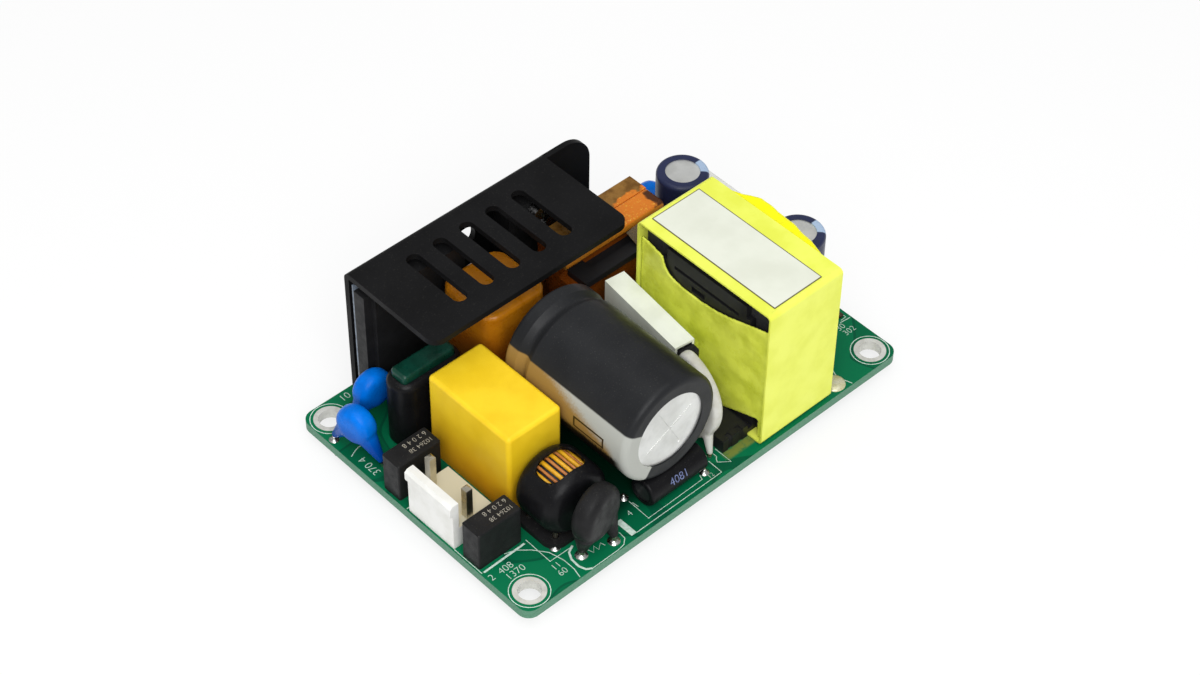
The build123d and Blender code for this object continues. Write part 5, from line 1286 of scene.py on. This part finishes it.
    def hole_ring(self, side_x: int, side_y: int) -> Object:
        """Prints the circle round one mounting hole.

        Args:
            side_x: minus one at the input end, one at the output end.
            side_y: minus one at the front, one at the back.

        Returns:
            The printed circle.
        """
        turns = [2 * math.pi * i / self.ring_sides for i in range(self.ring_sides)]
        points = [
            (
                side_x * self.hole_x + self.ring_radius * math.cos(turn),
                side_y * self.hole_y + self.ring_radius * math.sin(turn),
                BOARD_TOP,
            )
            for turn in turns
        ]
        return Bench.stroke(points, self.line, self.lift, closed=True)

    def fillet(self, x: float, y: float, radius: float) -> Object:
        """Sets one bead of solder where a lead goes through the board.

        Args:
            x: the lead's place along the board, in millimetres.
            y: its place across it.
            radius: the bead's radius.

        Returns:
            The bead.
        """
        profile = [(radius * share, height) for share, height in self.fillet_profile]
        return Bench.turned(profile, (x, y, BOARD_TOP), self.fillet_sides)


@dataclass
class RingChoke:
    """Two wires side by side round a ring, seen through the open top of a tight sleeve.

    Each wire has its radius, the share of a step by which it is shifted, its name, its finish and
    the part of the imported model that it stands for.
    """

    centre: Place = (-22.4, -15.0, 8.3)
    foot_z: float = 1.9
    squeeze: Place = (0.92, 1.0, 0.9)
    turns: int = 17
    bore: float = 2.8
    outer: float = 5.25
    width: float = 6.1
    bend: float = 0.7
    bend_sides: int = 3
    wires: tuple[tuple[float, float, str, str, tuple[str, ...]], ...] = (
        (0.37, 0.0, "ring_choke_yellow_turns", "yellow_wire", ("ring_choke_winding",)),
        (0.25, 0.5, "ring_choke_copper_turns", "copper_winding", ()),
    )

    def make(self, palette: Palette) -> None:
        """Winds both wires and shrinks the sleeve and the ring to the picture's size.

        Args:
            palette: the finishes.
        """
        for radius, offset, name, finish, replaces in self.wires:
            wire = self.squeezed(self.wound(radius, offset))
            Bench.finish(wire, name, palette[finish], replaces, "copper_winding", ROUND_EDGE)
        for node, name, finish in (
            ("ring_choke_sleeve", "tight_choke_sleeve", "black_sleeve"),
            ("ring_choke_core", "choke_ring", "ferrite"),
        ):
            copy = self.squeezed(Bench.copy_of(node))
            Bench.finish(copy, name, palette[finish], [node], finish)

    def squeezed(self, piece: Object) -> Object:
        """Draws a piece toward the choke's foot.

        Args:
            piece: the piece in its full size.

        Returns:
            The same piece, drawn in.
        """
        Bench.edit(piece, Pick.FACES)
        bpy.ops.transform.resize(
            value=self.squeeze, center_override=mm(self.centre[0], self.centre[1], self.foot_z)
        )
        Bench.leave()
        return piece

    def turn(self, radius: float) -> Object:
        """Bends one turn from a plane's edge.

        Args:
            radius: the wire's radius in millimetres.

        Returns:
            The turn, lying where the ring's first one is.
        """
        reach = self.outer - self.bore
        bpy.ops.mesh.primitive_plane_add(size=MM, location=mm((self.outer + self.bore) / 2, 0, 0))
        piece = bpy.context.object
        piece.scale = (reach, self.width, 1)
        Bench.set_down(piece)
        Bench.edit(piece, Pick.VERTICES)
        bpy.ops.mesh.bevel(offset=self.bend * MM, segments=self.bend_sides, affect="VERTICES")
        bpy.ops.mesh.select_all(action="SELECT")
        bpy.ops.mesh.delete(type="ONLY_FACE")
        Bench.leave()
        bpy.ops.object.convert(target="CURVE")
        piece = bpy.context.object
        piece.data.bevel_depth = radius * MM
        piece.data.bevel_resolution = 2
        bpy.ops.object.convert(target="MESH")
        return bpy.context.object

    def wound(self, radius: float, offset: float) -> Object:
        """Copies one turn round the ring.

        Args:
            radius: the wire's radius in millimetres.
            offset: the share of a step by which the wire is shifted.

        Returns:
            All its turns as one piece.
        """
        first = self.turn(radius)
        copies = [first]
        for _ in range(1, self.turns):
            Bench.take(first)
            bpy.ops.object.duplicate()
            copies.append(bpy.context.view_layer.objects.active)
        for index, copy in enumerate(copies):
            copy.rotation_euler = (0, 2 * math.pi * (index + offset) / self.turns, 0)
            copy.location = mm(*self.centre)
        return Bench.join(copies)


@dataclass(frozen=True)
class DippedDisc:
    """A disc part dipped in lacquer that runs down both leads."""

    centre: Place
    turn: float
    radius: float
    thickness: float
    feet: tuple[Place, Place]
    neck: Spot = (1.7, 0.55)
    spread: float = 0.5
    drop: float = 0.4
    rim: float = 0.4
    sides: int = 64
    rim_sides: int = 5
    rim_angle: float = 0.8
    skin: float = 0.22
    rounds: int = 8

    def body(self) -> Object:
        """Shapes the disc and its two necks.

        Returns:
            The melted body of one disc.
        """
        turn = math.radians(self.turn)
        bpy.ops.mesh.primitive_cylinder_add(
            vertices=self.sides,
            radius=self.radius * MM,
            depth=self.thickness * MM,
            location=mm(*self.centre),
            rotation=(math.radians(90), 0, turn),
        )
        disc = Bench.set_down(bpy.context.object)
        width = self.thickness * self.rim * MM
        Bench.modify(
            disc, "BEVEL", width=width, segments=self.rim_sides, angle_limit=self.rim_angle
        )
        along = Vector((math.cos(turn), math.sin(turn), 0))
        parts = [disc]
        for foot in self.feet:
            side = math.copysign(1, (Vector(foot) - Vector(self.centre)).dot(along))
            head = Vector(self.centre) + along * side * self.radius * self.spread
            head.z -= self.radius * self.drop
            parts.append(Bench.rod(tuple(head), foot, self.neck))
        return Bench.melt(parts, self.skin, self.rounds)


@dataclass
class SafetyCapacitors:
    """Three blue dipped discs, each at its place and turn."""

    places: tuple[tuple[float, float, float], ...] = (
        (-36.0, 14.2, -78.4),
        (-29.7, 18.2, 0.0),
        (28.9, 19.85, -90.0),
    )
    radius: float = 3.2
    thickness: float = 3.4
    height: float = 7.7
    pitch: float = 9.0
    foot_z: float = 2.5

    def make(self, palette: Palette) -> None:
        """Shapes the three discs.

        Args:
            palette: the finishes.
        """
        node, finish = "safety_capacitors", "blue_coating"
        discs = Bench.join([self.disc(*place).body() for place in self.places])
        Bench.finish(discs, "dipped_" + node, palette[finish], [node], finish, SOFT_EDGE)

    def disc(self, x: float, y: float, turn: float) -> DippedDisc:
        """Lays out one disc with a foot on either side.

        Args:
            x: its place along the board, in millimetres.
            y: its place across it.
            turn: the way it runs, in degrees.

        Returns:
            The disc's sizes.
        """
        angle = math.radians(turn)
        feet = tuple(
            (x + side * math.cos(angle), y + side * math.sin(angle), self.foot_z)
            for side in (-self.pitch / 2, self.pitch / 2)
        )
        return DippedDisc((x, y, self.height), turn, self.radius, self.thickness, feet)


@dataclass
class Thermistors:
    """The black disc by the input and the cream part before the transformer."""

    inrush: DippedDisc = DippedDisc(
        centre=(-22.65, -22.6, 9.2),
        turn=12.4,
        radius=4.6,
        thickness=3.5,
        feet=((-25.1, -22.4, 2.6), (-19.9, -23.6, 2.6)),
        neck=(1.75, 0.6),
        spread=0.56,
        drop=0.5,
    )
    skin: float = 0.2
    rounds: int = 6

    def make(self, palette: Palette) -> None:
        """Shapes both dipped parts.

        Args:
            palette: the finishes.
        """
        black = self.inrush.body()
        cream = Bench.melt([Bench.copy_of("sleeved_thermistor")], self.skin, self.rounds)
        for piece, node, finish in (
            (black, "inrush_thermistor", "black_moulding"),
            (cream, "sleeved_thermistor", "white_coating"),
        ):
            Bench.finish(piece, "dipped_" + node, palette[finish], [node], finish, SOFT_EDGE)


@dataclass
class TransformerTape:
    """The wrinkled tape on the transformer's two open sides.

    Each sheet has its node, name and finish, how high and wide its wrinkles are, and how they rise.
    """

    voxel: float = 0.25
    middle: float = 0.5
    rounds: int = 3
    sheets: tuple[tuple[str, str, str, float, float, str], ...] = (
        ("transformer_side_tape", "wrinkled_side_tape", "loose_tape", 0.35, 4.5, "X"),
        ("transformer_tape_fold", "crinkled_tape_fold", "fold_tape", 0.45, 3.0, "NORMAL"),
    )

    def make(self, palette: Palette) -> None:
        """Wrinkles the loose sheet and the fold.

        Args:
            palette: the finishes.
        """
        for node, name, finish, height, size, direction in self.sheets:
            sheet = self.wrinkled(node, height, size, direction)
            Bench.finish(sheet, name, palette[finish], [node], "yellow_tape", SOFT_EDGE)

    def wrinkled(self, node: str, height: float, size: float, direction: str) -> Object:
        """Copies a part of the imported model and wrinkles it.

        Args:
            node: the part's name.
            height: how high the wrinkles stand, in millimetres.
            size: how wide they are.
            direction: which way they rise.

        Returns:
            The wrinkled copy.
        """
        piece = Bench.copy_of(node)
        Bench.modify(piece, "REMESH", mode="VOXEL", voxel_size=self.voxel * MM)
        clouds = bpy.data.textures.new(node + "_wrinkles", "CLOUDS")
        clouds.noise_scale = size * MM
        clouds.noise_depth = 1
        Bench.modify(
            piece,
            "DISPLACE",
            texture=clouds,
            texture_coords="LOCAL",
            direction=direction,
            strength=height * MM,
            mid_level=self.middle,
        )
        return Bench.modify(piece, "SMOOTH", factor=SMOOTHING, iterations=self.rounds)


@dataclass
class SmallMarks:
    """Plain digits on the fuses and the small capacitor, and three small blocks.

    The blocks are a loose flap of film on the boost choke, the black plate's end below the white
    cover, and the front of the transformer's pin rail, closed but for a low slot.
    """

    fuse_x: float = -33.65
    fuse_half: float = 3.4
    fuse_ys: Spot = (4.6, -12.85)
    fuse_top: float = 8.8
    fuse_rows: tuple[tuple[str, float, float], ...] = (
        ("6 2 0 4 8", 1.2, 0.85),
        ("10264 38", -0.25, 0.8),
    )
    fuse_turn: float = 180.0
    fuse_lift: float = 0.02
    sleeve_text: str = "4081"
    sleeve_foot: Place = (-8.6, -23.5, 4.42)
    sleeve_size: float = 1.3
    sleeve_lift: float = 0.2
    sleeve_tilt: float = 62.0
    flap: Slab = Slab((14.7, 7.8, 18.1), (3.6, 2.9, 0.06), 0.02, 1, (30.0, -10.0, 0.0))
    plate_end: Slab = Slab((3.48, -14.1, 15.55), (2.8, 1.6, 3.6), 0.25, 3, (0.0, 0.0, -6.9))
    rail_front: Slab = Slab((5.95, -21.3, 2.75), (4.9, 1.5, 2.2), 0.12, 2)

    def make(self, palette: Palette) -> None:
        """Adds the digits and the blocks.

        Args:
            palette: the finishes.
        """
        start = self.fuse_x + self.fuse_half
        rows = [
            Bench.digits(
                text, (start, y + side, self.fuse_top), size, self.fuse_turn, self.fuse_lift
            )
            for y in self.fuse_ys
            for text, side, size in self.fuse_rows
        ]
        row = Bench.digits(
            self.sleeve_text,
            self.sleeve_foot,
            self.sleeve_size,
            turn=0.0,
            height=self.sleeve_lift,
            tilt=self.sleeve_tilt,
        )
        for piece, name, finish, slot in (
            (Bench.join(rows), "fuse_numbers", "fuse_print", None),
            (row, "sleeve_numbers", "sleeve_print", None),
            (self.flap.made(), "film_flap", "film_flap", None),
            (self.plate_end.made(), "plate_end", "black_moulding", "black_moulding"),
            (self.rail_front.made(), "rail_front", "black_moulding", "black_moulding"),
        ):
            Bench.finish(piece, name, palette[finish], slot=slot)


@dataclass
class Studio:
    """The pale floor, soft lamps and the picture's camera."""

    floor_z: float = -2.0
    floor_size: float = 4000.0
    floor_tone: str = "#f4f4f4"
    floor_roughness: float = 0.9
    floor_glow: float = 0.75
    room_light: float = 0.46
    lamps: tuple[tuple[str, Place, float, float], ...] = (
        ("key", (-40.0, -40.0, 420.0), 420.0, 0.85),
        ("front", (-235.0, -285.0, 360.0), 300.0, 1.6),
    )
    target: Place = (0.0, 0.0, 10.0)
    place: Place = (-195.658, -205.021, 302.259)
    lens: float = 82.17
    sensor: float = 36.0
    near: float = 10.0
    azimuth: float = -43.530
    elevation: float = 45.723
    roll: float = 0.870

    def make(self) -> None:
        """Sets up floor, light and camera."""
        self.floor()
        self.world()
        for lamp in self.lamps:
            self.lamp(*lamp)
        self.camera()

    def floor(self) -> None:
        """Lays a white floor that still takes the module's shadow."""
        bpy.ops.mesh.primitive_plane_add(
            size=self.floor_size * MM, location=mm(0, 0, self.floor_z)
        )
        floor = bpy.context.object
        floor.name = "floor"
        recipe = Recipe("floor")
        recipe.feed("Base Color", paint(self.floor_tone))
        recipe.feed("Roughness", self.floor_roughness)
        recipe.feed("Specular IOR Level", 0.0)
        path = recipe.tree.nodes.new("ShaderNodeLightPath")
        seen = path.outputs["Is Camera Ray"]
        for ray in ("Is Glossy Ray", "Is Transmission Ray"):
            seen = recipe.calc("MAXIMUM", seen, path.outputs[ray])
        glow = recipe.node("Emission", {"Color": (1, 1, 1, 1), "Strength": 1.0})
        mix = recipe.node("MixShader", {"0": recipe.times(seen, self.floor_glow)})
        recipe.tree.links.new(recipe.shader.outputs[0], mix.inputs[1])
        recipe.tree.links.new(glow.outputs[0], mix.inputs[2])
        output = recipe.tree.nodes["Material Output"]
        recipe.tree.links.new(mix.outputs[0], output.inputs["Surface"])
        floor.data.materials.append(recipe.material)

    def world(self) -> None:
        """Fills the room with even light and shows it white to the camera."""
        world = bpy.data.worlds.new("room")
        world.use_nodes = True
        tree = world.node_tree
        lit = tree.nodes["Background"]
        lit.inputs["Color"].default_value = (1, 1, 1, 1)
        lit.inputs["Strength"].default_value = self.room_light
        seen = tree.nodes.new("ShaderNodeBackground")
        seen.inputs["Color"].default_value = (1, 1, 1, 1)
        path = tree.nodes.new("ShaderNodeLightPath")
        mix = tree.nodes.new("ShaderNodeMixShader")
        tree.links.new(path.outputs["Is Camera Ray"], mix.inputs[0])
        tree.links.new(lit.outputs[0], mix.inputs[1])
        tree.links.new(seen.outputs[0], mix.inputs[2])
        tree.links.new(mix.outputs[0], tree.nodes["World Output"].inputs["Surface"])
        bpy.context.scene.world = world

    def lamp(self, name: str, place: Place, size: float, power: float) -> None:
        """Hangs one soft square lamp that points at the module.

        Args:
            name: the lamp's name.
            place: where it hangs, in millimetres.
            size: its side in millimetres.
            power: its power in watts.
        """
        spot = mm(*place)
        turn = (mm(*self.target) - spot).to_track_quat("-Z", "Y").to_euler()
        bpy.ops.object.light_add(type="AREA", location=spot, rotation=turn)
        lamp = bpy.context.object
        lamp.name = name
        lamp.data.size = size * MM
        lamp.data.energy = power

    def camera(self) -> None:
        """Stands the camera where the picture was taken."""
        azimuth, elevation, roll = map(math.radians, (self.azimuth, self.elevation, self.roll))
        back = Vector(
            (
                math.sin(azimuth) * math.cos(elevation),
                -math.cos(azimuth) * math.cos(elevation),
                math.sin(elevation),
            )
        )
        right = Vector((math.cos(azimuth), math.sin(azimuth), 0))
        up = back.cross(right)
        across = math.cos(roll) * right + math.sin(roll) * up
        above = -math.sin(roll) * right + math.cos(roll) * up
        turn = Matrix((across, above, back)).transposed()
        bpy.ops.object.camera_add(location=mm(*self.place), rotation=turn.to_euler())
        camera = bpy.context.object
        camera.data.lens = self.lens
        camera.data.sensor_width = self.sensor
        camera.data.clip_start = self.near * MM
        bpy.context.scene.camera = camera
        bpy.context.scene.view_settings.view_transform = "Standard"


NODE_FINISHES: dict[str, str] = {
    "boost_choke_tape": "boost_tape",
    "boost_choke_film": "boost_tape",
    "mounting_hole_platings": "tinned_ring",
    "insulating_film": "film_edge",
    "transformer_bobbin": "glossy_moulding",
    "boost_choke_core": "glossy_moulding",
    "control_capacitor_can": "dark_can",
    "storage_capacitor_sleeve": "storage_sleeve",
    "output_capacitor_sleeves": "navy_sleeve",
    "control_capacitor_sleeve": "black_sleeve",
}


def dress_nodes(frame: dict, palette: Palette) -> None:
    """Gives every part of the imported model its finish.

    Args:
        frame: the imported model.
        palette: the finishes.
    """
    slots = {part["node"]: part["material_slot"] for part in frame["record"]["subparts"]}
    for name, node in frame["nodes"].items():
        finish = NODE_FINISHES.get(name, slots[name])
        material = palette[finish]
        if node.material_slots:
            for holder in node.material_slots:
                holder.material = material
        else:
            node.data.materials.append(material)
    LOG.info("%d parts dressed", len(frame["nodes"]))


def main() -> None:
    """Builds the dressed module and its studio."""
    logging.basicConfig(level=logging.INFO, format="%(message)s")
    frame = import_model()
    palette = Palette()
    dress_nodes(frame, palette)
    for assembly in (
        BoardPrint(),
        RingChoke(),
        SafetyCapacitors(),
        Thermistors(),
        TransformerTape(),
        SmallMarks(),
    ):
        assembly.make(palette)
    Studio().make()


if __name__ == "__main__":
    main()
